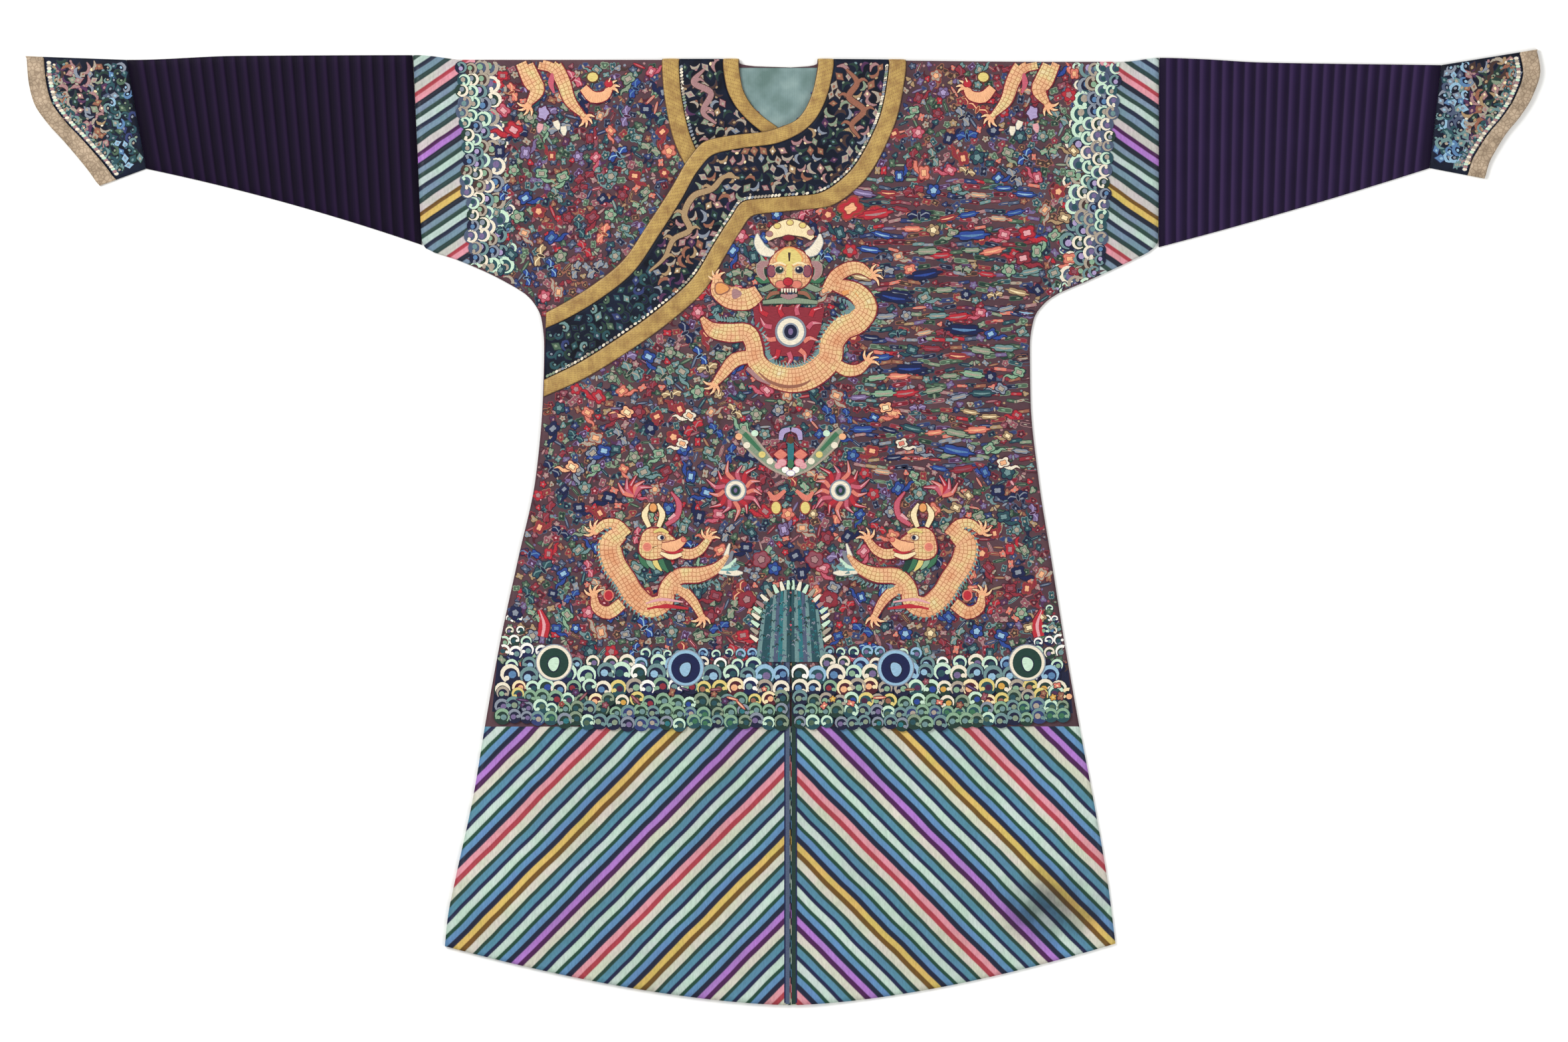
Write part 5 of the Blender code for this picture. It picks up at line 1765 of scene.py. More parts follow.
def sea(bm, chance, side):
    """One half of the sea, from the slit to the side's edge, each row a little over the last."""
    flip = sign_of(side)
    bed = [(flip * 8, -955), (flip * 160, -957), (flip * 320, -950), (flip * 470, -936)]
    stroke(bm, bed, (86, 84, 84, 84, 86), "ink", 0.05, 0.05, 54, 10)
    for row, (below, start, last, step, least, most, choices) in enumerate(SEA_ROWS):
        end = float(side_half(side, below * MM)) / MM - 5.0
        x = start if start > 0.0 else end + start
        while x < end + last:
            rise = 8.0 * math.sin(math.pi * x / end) - 0.02 * x if start == WIDE else 0.0
            y = -below - (rise if below > 950.0 else -0.3 * rise) + chance.uniform(-3.0, 3.0)
            mirror = (chance.random() < 0.35) != (flip < 0.0)
            size = chance.uniform(least, most)
            wave, turn = chance.choice(choices), chance.uniform(-0.4, 0.4)
            stamp(bm, wave, flip * x, y, turn, size, mirror, ROW_LIFT * row)
            x += in_row(chance, step)
    for _ in range(TREASURES_DROPPED):
        x, y = flip * chance.uniform(24.0, 440.0), -chance.uniform(935.0, 972.0)
        found, turn = chance.choice(TREASURES), chance.uniform(-1, 1)
        stamp(bm, found, x, y, turn, chance.uniform(0.8, 1.2), False, ROW_LIFT * len(SEA_ROWS))
    for x, below, names in DISCS:
        disc = drawing(foam_disc, *names.split())
        stamp(bm, disc, flip * x, -below, 0.0, 1.0, flip < 0.0, DISC_LIFT)
    coral = [(flip * 374, -868), (flip * 371, -850), (flip * 378, -828)]
    outlined(bm, coral, (16.0, 17.0, 6.0), "red", "maroon", 0.8, 1.6, 8)
    stroke(bm, coral, (4.0, 5.0, 1.0), "pink", 1.3, 0.1, 6)


# %% The mountain
HILL_TONES = ("petrol", "haze", "teal", "slate", "haze", "petrol")
TIP_TONES = ("mint", "ivory", "mint", "bone", "ivory", "faded_pink")
FLECK_TONES = ("bottle", "petrol", "haze", "fog", "teal", "slate")
FOOT, SHOULDER, TOP, BASE = 52.0, 42.0, -797.0, -906.0  # half widths, and heights
CROWN = (TOP - BASE) * 0.42  # the rounded part at the top
HILL_BANDS = 8
HILL_FLECKS = 110
HILL_TIPS = 11


def crown_drop(share):
    """How far the outline has come down from the top at a share of the half width."""
    return CROWN * (1.0 - math.sqrt(max(1.0 - share**2, 0.0)))


def hill(bm, flip, chance):
    """Half a mountain: upright bands of stitches under one outline, flecks, then pale tips."""
    for k in range(HILL_BANDS):
        share = (k + 0.5) / HILL_BANDS
        low, high = FOOT * share, SHOULDER * share
        crown = TOP - crown_drop(min(share, 0.97))
        middle = (flip * (0.5 * low + 0.5 * high), 0.5 * (BASE + crown))
        wide = FOOT / HILL_BANDS + 0.6
        points = [(flip * low, BASE), middle, (flip * high, crown)]
        widths = (wide, wide, 0.9 * wide, 0.6 * wide)
        stroke(bm, points, widths, HILL_TONES[k % 6], 1.5 + 0.02 * k, 0.25, 10)
    for _ in range(HILL_FLECKS):
        x, y = FOOT * chance.random(), chance.uniform(BASE, TOP - 8.0)
        reach = SHOULDER + (FOOT - SHOULDER) * (TOP - y) / (TOP - BASE)
        if x > 0.93 * reach or (TOP - y) < crown_drop(x / reach):
            continue
        colour = chance.choice(FLECK_TONES)
        end = (flip * (x + chance.uniform(2, 6)), y - 2.0)
        points = [(flip * x, y), (flip * (x + 3.0), y + 2.0), end]
        stroke(bm, points, (1.4, 1.8, 0.8), colour, 1.95, 0.05, 4, 1)
    for k in range(HILL_TIPS):
        share = k / (HILL_TIPS - 1.0)
        a = math.radians(86.0 - 84.0 * min(share / 0.7, 1.0))
        x = 0.96 * (SHOULDER + (FOOT - SHOULDER) * share) * math.cos(a)
        y = TOP - CROWN * (1.0 - math.sin(a)) - max(share - 0.7, 0.0) * 110.0
        out = (x + 13.0 * math.cos(max(a, 0.5)), y + 11.0 * math.sin(max(a, 0.5)) + 3.0)
        points = [(flip * x, y), (flip * out[0], out[1])]
        outlined(bm, points, (6.4, 6.0, 3.4), TIP_TONES[k % 6], "bottle", 1.75, 0.8, 3)


# %% Waves at the sleeve ends
SLEEVE_EDGE = {"right": (503.0, 482.0), "left": (494.0, 468.0)}  # at the fold and 300 mm below it
SLEEVE_WAVES = drawings(
    threads(
        "mint slate petrol, bone slate haze, fog ink steel, mint petrol bone, ivory bottle fog,"
        "ivory slate heather, haze ink lilac, bone umber sage"
    ),
    breaker,
)
SLEEVE_COLUMNS = (  # in from the lines, step, size from, to
    (60.0, 27.0, 0.6, 0.95),
    (48.0, 24.0, 0.95, 1.35),
    (33.0, 20.0, 0.9, 1.15),
    (19.0, 18.0, 0.85, 1.05),
    (6.0, 17.0, 0.75, 0.95),
)
SLEEVE_END = 345.0


def sleeve_sea(bm, chance, side):
    """The same breakers on end, between the sleeve end's lines and the clouds."""
    flip = sign_of(side)
    top, low = SLEEVE_EDGE[side]

    def line(below):
        return top + (low - top) * below / 300.0

    bed = [(flip * (line(b) - 26.0), -b) for b in (4.0, 110.0, 220.0, SLEEVE_END)]
    stroke(bm, bed, (46, 46, 46, 50), "slate", 0.05, 0.05, 40, 7)
    for row, (inwards, step, least, most) in enumerate(SLEEVE_COLUMNS):
        below = 8.0 + chance.uniform(0.0, 8.0)
        while below < SLEEVE_END:
            x = flip * (line(below) - inwards + chance.uniform(-4.0, 4.0))
            turn = flip * 1.5 + chance.uniform(-0.5, 0.5)
            size, wave = chance.uniform(least, most), chance.choice(SLEEVE_WAVES)
            stamp(bm, wave, x, -below, turn, size, chance.random() < 0.4, ROW_LIFT * row)
            below += in_row(chance, step)


for name, behind, seed in (("waves_front", False, 21), ("waves_back", True, 22)):
    water = new_pattern()
    chance = random.Random(seed)
    for side in ("left", "right"):
        sea(water, chance, side)
        hill(water, sign_of(side), chance)
    for side in ("left", "right"):
        sleeve_sea(water, chance, side)
    lay_pattern(water, name, BODY_TREE, "body_silk", behind)

# %% [markdown]
# ## Dragons
#
# The robe's dragons are **gilt thread couched down in pairs** and outlined in red: one seen
# from the front on the chest, two walking ones above the waves, and one over each shoulder.
# They are drawn with the same two tools. A body is one long stroke whose width swells, limbs
# are shorter strokes that end in a fan of claws, and the head is a group of patches. The pearl
# that each one chases is a white ring round a dark heart, with red flames.


# %% Parts of a dragon
BOTH = (-1.0, 1.0)


def towards(at, reach, angle):
    return (at[0] + reach * math.cos(angle), at[1] + reach * math.sin(angle))


def dot(bm, at, size, colour, rim, segments, lift, rings=0):
    """A small round patch with a rim."""
    patch(bm, at, size, colour, rim, segments=segments, lift=lift, rings=rings)


def body(bm, points, widths, steps, edge=1.9, dome=1.4, lift=0.85, colour="gilt"):
    outlined(bm, points, widths, colour, "crimson", lift, edge, steps, dome, 6)


def paw(bm, at, heading, size):
    dot(bm, at, (6.5, 6.0), "peach", "brick", 9, 1.0)
    for turn in (-1.05, -0.4, 0.3, 1.0):
        a = heading + turn
        middle, tip = towards(at, 0.6 * size, a + 0.18), towards(at, size, a - 0.1)
        outlined(bm, [at, middle, tip], (4.4, 4.2, 1.4), "peach", "maroon", 1.1, 0.9, 5)
        stroke(bm, [middle, tip], (2.0, 0.8), "cream", 1.6, 0.1, 2)


def limb(bm, points, widths, heading, size, tone="gilt"):
    outlined(bm, points, widths, tone, "crimson", 1.0, 1.5, None, 0.8, 4)
    paw(bm, points[-1], heading, size)


def spines(bm, points, offset):
    """Short flecks along one side of a body."""
    path = curve_through(points, 5 * len(points))
    for place, (dx, dy) in list(zip(path, unit_run(path)))[1:-1]:
        out = np.array([-dy, dx])
        root = place + offset * out
        tip = root + 0.45 * offset * out + 3.0 * np.array([dx, dy])
        stroke(bm, [root, tip], (4.5, 1.0), "haze", 1.15, 0.2, 3)


def pearl(bm, at, radius, middle="ink"):
    patch(bm, at, (radius, radius), "ivory", "fog", None, 0.0, 40, 1.3, 0.14, 0.3, 2)
    size = (0.52 * radius, 0.56 * radius)
    patch(bm, at, size, middle, "fog", None, 0.0, 30, 1.9, 0.2, 0.3, 1)
    heart(bm, at, (0.16 * radius, 0.22 * radius), "heather", 12, 2.5)


def flame(bm, root, heading, long, colour, rim):
    middle, end = towards(root, 0.5 * long, heading + 0.3), towards(root, long, heading - 0.15)
    outlined(bm, [root, middle, end], (7.0, 6.0, 1.2), colour, rim, 0.8, 1.2, 6)
    stroke(bm, [middle, end], (2.2, 0.6), "pink", 1.3, 0.1, 3)


# %% The face that looks straight out
def faced(flip, *rows):
    """Points of one half of the face: how far out, how far the face leans there, and up."""
    return [(flip * x + lean, y) for x, lean, y in rows]


def jaw(angle):
    return 1.0 - 0.20 * max(0.0, -math.sin(angle)) ** 2 + 0.06 * math.cos(2 * angle)


def mane_and_horns(bm):
    for k, colour in enumerate(("moss", "sage", "bottle", "green", "lichen", "moss", "bottle")):
        for flip in BOTH:
            a = 0.75 - 0.33 * k
            root = (-1 + flip * 26 * math.cos(a), -322 + 30 * math.sin(a))
            tip = (root[0] + flip * 27 * math.cos(a + 0.3), root[1] + 24 * math.sin(a + 0.3))
            bend = ((root[0] + tip[0]) / 2 + 4 * flip, (root[1] + tip[1]) / 2 - 4)
            outlined(bm, [root, bend, tip], (9, 8, 1.5), colour, "bottle", 0.7, 1.0, 6)
    for flip in BOTH:
        horn = faced(flip, (24, -1, -292), (38, -3, -287), (46, -3, -274), (47, -3, -262))
        outlined(bm, horn, (9, 15, 12, 2), "ivory", "fog", 1.2, 1.2, 9, 0.5)
        ear = faced(flip, (31, -1, -306), (43, -2, -309), (43, -2, -322), (36, -2, -331))
        outlined(bm, ear, (5, 11, 9, 3), "faded_pink", "bone", 1.2, 1.2, 8, 0.4)


def eyes_and_cheeks(bm):
    for flip, iris in zip(BOTH, ("bottle", "ink")):
        dot(bm, (flip * 27 - 2, -318), (7, 10), "dull_rose", "mulberry", 12, 2.2, 1)
        dot(bm, (flip * 15 - 2, -316), (7.5, 6.5), iris, "bone", 12, 2.4, 1)
        heart(bm, (flip * 13 - 2, -314), (1.8, 1.6), "ivory", 5, 3.2)
        brow = faced(flip, (5, -2, -309), (14, -2, -305), (27, -2, -309))
        stroke(bm, brow, (3, 5, 1), "cream", 2.7, 0.3, 6)
        dot(bm, (flip * 12 - 3, -338), (9, 7), "salmon", "clay", 12, 2.3, 1)
        whisker = faced(flip, (14, -3, -350), (26, -3, -352), (33, -3, -360))
        stroke(bm, whisker, (5, 6, 2), "clay", 2.2, 0.2, 6)


def front_face(bm):
    """Mane, horns, ears, brow, eyes, nose, jaws and crown."""
    mane_and_horns(bm)
    patch(bm, (-1, -318), (33, 40), "gilt", "crimson", jaw, 0.0, 28, 1.3, 0.06, 0.5, 3)
    brow = lobes(3, 0.08, 1.6)
    patch(bm, (-2, -297), (21, 15), "straw", "apricot", brow, 0.0, 18, 2.3, 0.16, 0.5, 1)
    stroke(bm, [(-2, -290), (-2, -303)], (4, 2), "umber", 3.1, 0.1, 4)
    eyes_and_cheeks(bm)
    stroke(bm, [(-2, -308), (-2, -322), (-3, -332)], (8, 9, 10), "straw", 2.5, 0.4, 6)
    dot(bm, (-4, -334), (8, 7), "red", "crimson", 12, 2.9, 1)
    stroke(bm, [(-20, -347), (-3, -344), (14, -347)], (3, 7, 3), "crimson", 2.5, 0.2, 9)
    for k in range(6):
        x = -13 + 4.2 * k
        stroke(bm, [(x, -344), (x, -350)], (3.2, 2.0), "ivory", 2.9, 0.1, 2)
    stroke(bm, [(-15, -354), (-3, -357), (10, -354)], (4, 8, 4), "faded_pink", 2.5, 0.3, 8)
    chin = [(-42, -365), (-2, -362), (40, -365)]
    outlined(bm, chin, (5, 10, 5), "lichen", "bottle", 1.6, 1.2, 12)
    crown = [(-36, -270), (-22, -258), (-1, -252), (20, -257), (33, -269)]
    outlined(bm, crown, (7, 20, 25, 20, 7), "cream", "umber", 1.3, 1.6, 18, 0.8, 4)
    for x, y in ((-32, -262), (-20, -250), (-1, -245), (18, -249), (30, -260)):
        dot(bm, (x, y), (6, 5), "straw" if abs(x) < 25 else "faded_pink", "clay", 9, 2.1)
    dot(bm, (-3, -268), (10, 5), "crimson", "maroon", 10, 2.4)


# %% The dragon on the chest
FLAME_TONES = ("red", "rose", "salmon")
FRONT_BODY = (
    (66, -338), (98, -350), (113, -372), (100, -393), (78, -404), (62, -425), (56, -451),
    (30, -473), (-1, -480), (-35, -471), (-52, -452), (-56, -428), (-66, -411), (-92, -411),
    (-118, -406), (-134, -388),
)
FRONT_WIDTHS = (18, 28, 34, 36, 35, 35, 39, 41, 40, 33, 27, 24, 26, 27, 22, 6)
FRONT_FLAMES = (
    (-46, -384, 2.3), (-38, -402, 2.6), (-30, -420, 2.9), (40, -386, 0.8), (34, -404, 0.5),
    (26, -424, 0.2), (-24, -436, 4.1), (-4, -440, 4.7), (18, -436, 5.2), (-16, -386, 1.7),
    (14, -384, 1.4),
)
FRONT_LIMBS = (  # points, widths, the claws' heading and size
    ([(54, -346), (68, -326), (88, -314), (106, -314), (121, -325)], (14, 20, 19, 16, 9), 0.25, 19),
    ([(64, -456), (84, -467), (102, -466), (116, -455)], (16, 18, 15, 9), 0.9, 18),
    ([(-58, -446), (-84, -452), (-102, -472), (-114, -487)], (18, 20, 15, 9), -2.2, 18),
)
RAISED_ARM = ([(-48, -350), (-66, -360), (-90, -358), (-108, -346), (-110, -330)],
              (22, 32, 33, 26, 13), 1.9, 15)


def front_dragon(bm):
    stroke(bm, [(-3, -372), (-4, -405), (-5, -446)], (108, 98, 62), "old_red", 0.5, 0.1, 12, 10)
    for k, (x, y, a) in enumerate(FRONT_FLAMES):
        flame(bm, (x * 0.75, y), a, 22, FLAME_TONES[k % 3], "crimson")
    body(bm, FRONT_BODY, FRONT_WIDTHS, 60)
    spines(bm, FRONT_BODY, -16.5)
    belly = [(48, -458), (26, -484), (-2, -492), (-30, -485), (-48, -470)]
    stroke(bm, belly, (2, 5, 5, 3), "clay", 1.9, 0.2, 20)
    for row in FRONT_LIMBS:
        limb(bm, *row)
    fin = [(-66, -464), (-48, -478), (-30, -488)]
    outlined(bm, fin, (5, 9, 4), "faded_pink", "crimson", 1.3, 1.2, 8, 0.3)
    limb(bm, *RAISED_ARM)
    knot = lobes(3, 0.1)
    patch(bm, (-104, -344), (12, 10), "apricot", "clay", knot, 0.0, 12, 1.9, 0.2, 0.3, 1)
    patch(bm, (-82, -352), (11, 11), "faded_pink", "gilt", knot, 0.0, 12, 2.0, 0.3, 0.3, 1)
    outlined(bm, [(78, -352), (92, -346), (102, -356)], (6, 12, 8), "apricot", "clay", 1.9, 1.2, 7)
    front_face(bm)
    pearl(bm, (0, -409), 23.5)


# %% The walking dragon
WALK_BODY = (
    (-250, -712), (-268, -728), (-264, -756), (-247, -782), (-232, -806), (-208, -824),
    (-186, -815), (-181, -793), (-163, -777), (-134, -775), (-108, -765), (-90, -745),
)
WALK_WIDTHS = (20, 35, 36, 34, 34, 32, 26, 22, 23, 22, 15, 5)
PEARL_AT = (-79, -648)


def walking_limbs(bm):
    limb(bm, [(-243, -716), (-258, -700), (-276, -699), (-290, -710)], (18, 17, 14, 9), 2.5, 18)
    limb(bm, [(-250, -818), (-270, -832), (-288, -824), (-292, -806)], (17, 19, 15, 9), 1.7, 17)
    dot(bm, (-270, -806), (8, 9), "red", "salmon", 10, 1.0)
    limb(bm, [(-170, -740), (-148, -744), (-132, -737), (-120, -722)], (14, 15, 13, 9), 1.25, 18)
    limb(bm, [(-176, -796), (-158, -800), (-142, -816), (-130, -838)], (15, 16, 13, 9), -1.6, 17)


def walking_head(bm):
    patch(bm, (-197, -729), (31, 25), "gilt", "crimson", lobes(3, 0.10, 0.5), 0.0, 24, 1.5, 0.08,
          0.5, 3)
    snout = [(-190, -731), (-176, -733), (-164, -728), (-155, -720)]
    outlined(bm, snout, (8, 17, 13, 8), "peach", "crimson", 3.3, 1.2, 12, 0.6, 4)
    jaws = [(-192, -742), (-176, -748), (-160, -744)]
    outlined(bm, jaws, (4, 8, 5), "cream", "crimson", 3.0, 1.2, 9, 0.4)
    stroke(bm, [(-186, -739), (-172, -742), (-158, -737)], (1, 4, 3), "red", 3.9, 0.2, 8)
    dot(bm, (-191, -719), (6.5, 5), "ivory", "clay", 16, 3.5)
    heart(bm, (-189.5, -719), (3, 3.4), "ink", 12, 4.0)
    dot(bm, (-157, -722), (4, 4), "salmon", "red", 14, 4.1)
    dot(bm, (-212, -733), (8, 8), "salmon", "peach", 18, 3.2)
    stroke(bm, [(-202, -711), (-191, -707), (-180, -712)], (3, 6, 3), "straw", 3.9, 0.3, 7)
    for x, lean in ((-209, -7), (-195, 6)):
        horn = [(x, -703), (x + lean, -684), (x - lean * 0.3, -668)]
        outlined(bm, horn, (6, 9, 4), "cream", "brown", 1.3, 1.2, 7)
    dot(bm, (-203, -674), (7, 8), "apricot", "brown", 10, 2.1)
    mane = [(-184, -700), (-168, -688), (-164, -668), (-176, -650)]
    outlined(bm, mane, (5, 8, 8, 2), "rose", "crimson", 0.9, 1.2, 9)
    stroke(bm, [(-180, -692), (-170, -684)], (3, 5), "pink", 1.5, 0.2, 3)


def walking_dragon(bm):
    for k, colour in enumerate(("ivory", "grey", "mint", "sea", "ivory")):
        tail = [(-112, -768), (-96 + 4 * k, -752 - 5 * k), (-88 + 5 * k, -728 - 11 * k)]
        outlined(bm, tail, (8, 9, 2), colour, "grey", 0.7, 1.0, 6)
    body(bm, WALK_BODY, WALK_WIDTHS, 48)
    spines(bm, WALK_BODY, -14.5)
    stroke(bm, [(-212, -826), (-186, -822), (-150, -826)], (4, 7, 3), "red", 2.1, 0.3, 8)
    stroke(bm, [(-214, -818), (-190, -812), (-158, -816)], (2, 5, 2), "pink", 2.2, 0.2, 8)
    walking_limbs(bm)
    for k, colour in enumerate(("green", "sage", "straw", "green", "pine")):
        x, y = (-222 + 10 * k, -744 - 2 * k)
        tuft = [(x, y), (x + 4, y - 12), (x + 12, y - 21)]
        outlined(bm, tuft, (7, 8, 2), colour, "pine", 0.7, 1.0, 5)
    walking_head(bm)
    for k in range(5):
        long, colour = 30 - 3 * (k % 2), ("rose", "salmon", "red")[k % 3]
        flame(bm, (-232, -655), 0.55 + 0.52 * k, long, colour, "crimson")
    for at, colour in (((-40, -752), "dull_rose"), ((-62, -812), "old_red")):
        head(bm, at, (15, 14), colour, "crimson", 5, 0.2, 0.3, 25, 0.8, 0.12, 0.3)
        head(bm, at, (7, 6.5), "faded_pink", "maroon", 5, 0.2, 0.9, 15, 1.2, 0.16)
    patch(bm, PEARL_AT, (31, 28), "old_red", "crimson", None, 0.0, 32, 0.6, 0.1, 0.2, 2)
    for k in range(13):
        a = 0.3 + 0.48 * k
        root = (PEARL_AT[0] + 17 * math.cos(a), PEARL_AT[1] + 16 * math.sin(a))
        long, colour = 30 if k % 2 else 23, ("salmon", "red", "rose")[k % 3]
        flame(bm, root, a + 0.25, long, colour, "maroon")
    pearl(bm, PEARL_AT, 16.5, "pine")


# %% Shoulder dragons and the leaf spray
def shoulder_dragon(bm):
    """The part of a dragon that hangs over the shoulder: two coils and two clawed limbs."""
    coil = [(-398, -3), (-386, -30), (-378, -46), (-390, -66)]
    body(bm, coil, (24, 27, 22, 8), 14, 1.7, 1.2, 0.9)
    coil = [(-374, -3), (-352, -10), (-338, -34), (-328, -62), (-306, -86)]
    body(bm, coil, (22, 22, 20, 17, 6), 18, 1.7, 1.2, 0.9)
    paw(bm, (-391, -68), -2.2, 17)
    paw(bm, (-307, -86), -0.9, 16)
    arm = [(-308, -42), (-294, -56), (-276, -54), (-268, -42)]
    limb(bm, arm, (12, 17, 14, 9), 0.6, 15, "peach")
    dot(bm, (-294, -26), (10, 9), "straw", "brown", 12, 1.1)
    dot(bm, (-270, -36), (7, 7), "red", "crimson", 10, 1.3)
    stroke(bm, [(-352, -16), (-357, -34), (-352, -50)], (5, 9, 3), "rose", 1.1, 0.3, 6)
    for x, y, a, colour in (
        (-350, -92, -1.2, "ivory"), (-338, -100, -1.5, "ivory"), (-372, -96, -1.8, "pink")
    ):
        outlined(bm, [(x, y), towards((x, y), 14, a)], (8, 9, 3), colour, "grey", 0.7, 1.0, 4)
    patch(bm, (-368, -80), (10, 12), "lilac", "plum", lobes(5, 0.15), segments=15, lift=0.8)


BERRIES = (
    (8, -617, "white"), (19, -611, "pink"), (31, -604, "ivory"), (43, -594, "straw"),
    (66, -580, "ivory"), (54, -562, "mint"), (78, -567, "peach"),
)


def leaf_spray(bm):
    for flip in BOTH:
        spray = [(flip * 2, -623), (flip * 26, -611), (flip * 46, -592), (flip * 62, -574)]
        spray.append((flip * 76, -556))
        outlined(bm, spray, (5, 8, 14, 17, 4), "lichen", "bone", 1.0, 3.0, 16)
        for x, y, colour in BERRIES:
            heart(bm, (flip * x, y), (5.5, 5), colour, 9, 1.8)
        stroke(bm, [(flip * 46, -588), (flip * 70, -562)], (5, 7), "green", 1.7, 0.3, 5)
        petals = lobes(4, 0.12)
        patch(bm, (flip * 15, -594), (11, 9), "salmon", "crimson", petals, segments=12, lift=1.2)
        dot(bm, (flip * 13, -606), (8, 7), "pink", "rose", 10, 1.3)
        bud = [(flip * 1, -556), (flip * 12, -560), (flip * 15, -572)]
        stroke(bm, bud, (6, 9, 6), "lilac", 1.4, 0.3, 7)
        ribbon = [(flip * 8, -648), (flip * 24, -660), (flip * 34, -650)]
        stroke(bm, ribbon, (5, 10, 4), "salmon", 1.0, 0.3, 8)
        dot(bm, (flip * 22, -674), (9, 11), "straw", "brick", 12, 1.0)
    stroke(bm, [(0, -576), (0, -590), (0, -606)], (9, 10, 8), "teal", 1.6, 0.3, 6)
    heart(bm, (0, -608), (5, 7), "green", 8, 2.1)
    dot(bm, (0, -622), (7, 5), "white", "lilac", 10, 2.0)
    heart(bm, (0, -572), (5, 6), "brown", 8, 1.9)


# %% The dragons in their places
PAIR_MIDDLE = -4.0  # across: the line about which the pairs mirror, just right of the seam
DRAGON_LIFT = 0.9
PAIRED = [drawing(shape) for shape in (walking_dragon, shoulder_dragon)]
SINGLE = [drawing(shape) for shape in (front_dragon, leaf_spray)]
for name, behind in (("dragons_front", False), ("dragons_back", True)):
    beasts = new_pattern()
    for mesh in SINGLE:
        stamp(beasts, mesh, 0.0, 0.0)
    for mesh in PAIRED:
        for mirror in (False, True):
            stamp(beasts, mesh, PAIR_MIDDLE, 0.0, mirror=mirror)
    raise_all(beasts, DRAGON_LIFT)
    lay_pattern(beasts, name, BODY_TREE, "body_silk", behind)

# %% [markdown]
# ## The worked collar and cuffs
#
# The midnight facing carries its own, finer embroidery: small blossoms and clouds in faded
# pinks and creams round the neck, round sea-green waves down the slant, and a thin curling
# dragon. A row of ivory stitches runs beside the outer band. The cuffs are worked the same
# way, with waves at the sleeve and a scalloped ivory line inside the band.


# %% Small motifs on the facing
def petal(bm, fill, rim, light):
    patch(bm, (0, 0), (7.0, 5.0), fill, rim, lobes(4, 0.2), segments=12, lift=0.15, dome=0.2)
    heart(bm, (1.0, 0), (2.4, 1.8), light, 5, 0.5)


def sprig(bm, fill, rim, light):
    stem = [(-8, -3), (-1, 2), (6, 0), (8, -5)]
    outlined(bm, stem, (1.0, 5.0, 4.4, 1.0), fill, rim, 0.3, 0.8, 6, 0.3)
    patch(bm, (1, 5), (3.0, 2.2), light, rim, segments=6, lift=0.4)


def small_wave(bm, fill, rim, light):
    curl = [(-7, -3), (-4, 3), (3, 4), (6, -1), (2, -4)]
    outlined(bm, curl, (1.2, 3.8, 4.0, 3.0, 1.2), fill, rim, 0.3, 0.8, 8, 0.3)
    heart(bm, (0, -0.5), (2.2, 1.8), light, 5, 0.5)


NECK_TONES = threads(
    "faded_pink maroon bone, clay umber sand, bone ink faded_pink, sand umber ivory,"
    "fog ink bone, bone umber clay, lichen umber bone, umber ink sand, bottle ink lichen,"
    "mulberry ink faded_pink, faded_pink umber cream, bottle ink haze"
)
WAVE_TONES = threads(
    "petrol ink haze, bottle ink lichen, petrol bottle haze, petrol ink fog, moss bottle lichen,"
    "bottle ink haze, dusk ink fog, ink bottle petrol, haze bottle bone"
)
NECK_SMALL = drawings(NECK_TONES, petal, sprig)
WAVE_SMALL = drawings(WAVE_TONES, small_wave, petal)


def scatter(bm, chance, tree, box, step, margin, choose, behind, size):
    """Stamps small motifs on a staggered grid wherever this cloth lies all round the place."""
    x0, x1, y0, y1 = box
    around = ((0, 0), (margin, 0), (-margin, 0), (0, margin), (0, -margin))
    for row in range(int((y1 - y0) / step) + 1):
        for column in range(int((x1 - x0) / step) + 1):
            x = x0 + (column + 0.5 * (row % 2)) * step + chance.uniform(-2.0, 2.0)
            y = y0 + row * step + chance.uniform(-2.0, 2.0)
            turn, scale, pick = chance.uniform(-3.1, 3.1), chance.uniform(*size), chance.random()
            if all(covered(tree, x + dx, y + dy, behind) for dx, dy in around):
                choices = choose(x, y)
                stamp(bm, choices[int(pick * len(choices))], x, y, turn, scale)


# %% The facing's pattern
FACING_BOX = (-375, 180, -500, 0)
FACING_STEP, FACING_MARGIN, FACING_SIZE = 14.0, 4.5, (0.85, 1.2)
SLANT = (-205.0, -235.0)  # beyond this place the facing has waves
BEADS_IN = 3.2  # the row of stitches from the outer band
BEAD_ROWS = ((COLLAR_LEFT, 150, -999.0), (COLLAR_RIGHT, 38, -130.0))  # how many, and how far down
BEAD_TONES = ("ivory", "bone", "fog", "ivory", "lichen")
THIN_DRAGONS = (
    (
        [(-77, -178), (-100, -176), (-118, -194), (-146, -205), (-160, -232), (-152, -256),
         (-176, -270), (-190, -298), (-212, -318)],
        "sand",
    ),
    ([(84, -14), (100, -34), (88, -56), (110, -76), (92, -98), (104, -118)], "clay"),
    ([(-130, -14), (-146, -34), (-120, -50), (-132, -78), (-112, -96)], "faded_pink"),
)


def facing_choice(x, y):
    return WAVE_SMALL if x < SLANT[0] and y < SLANT[1] else NECK_SMALL


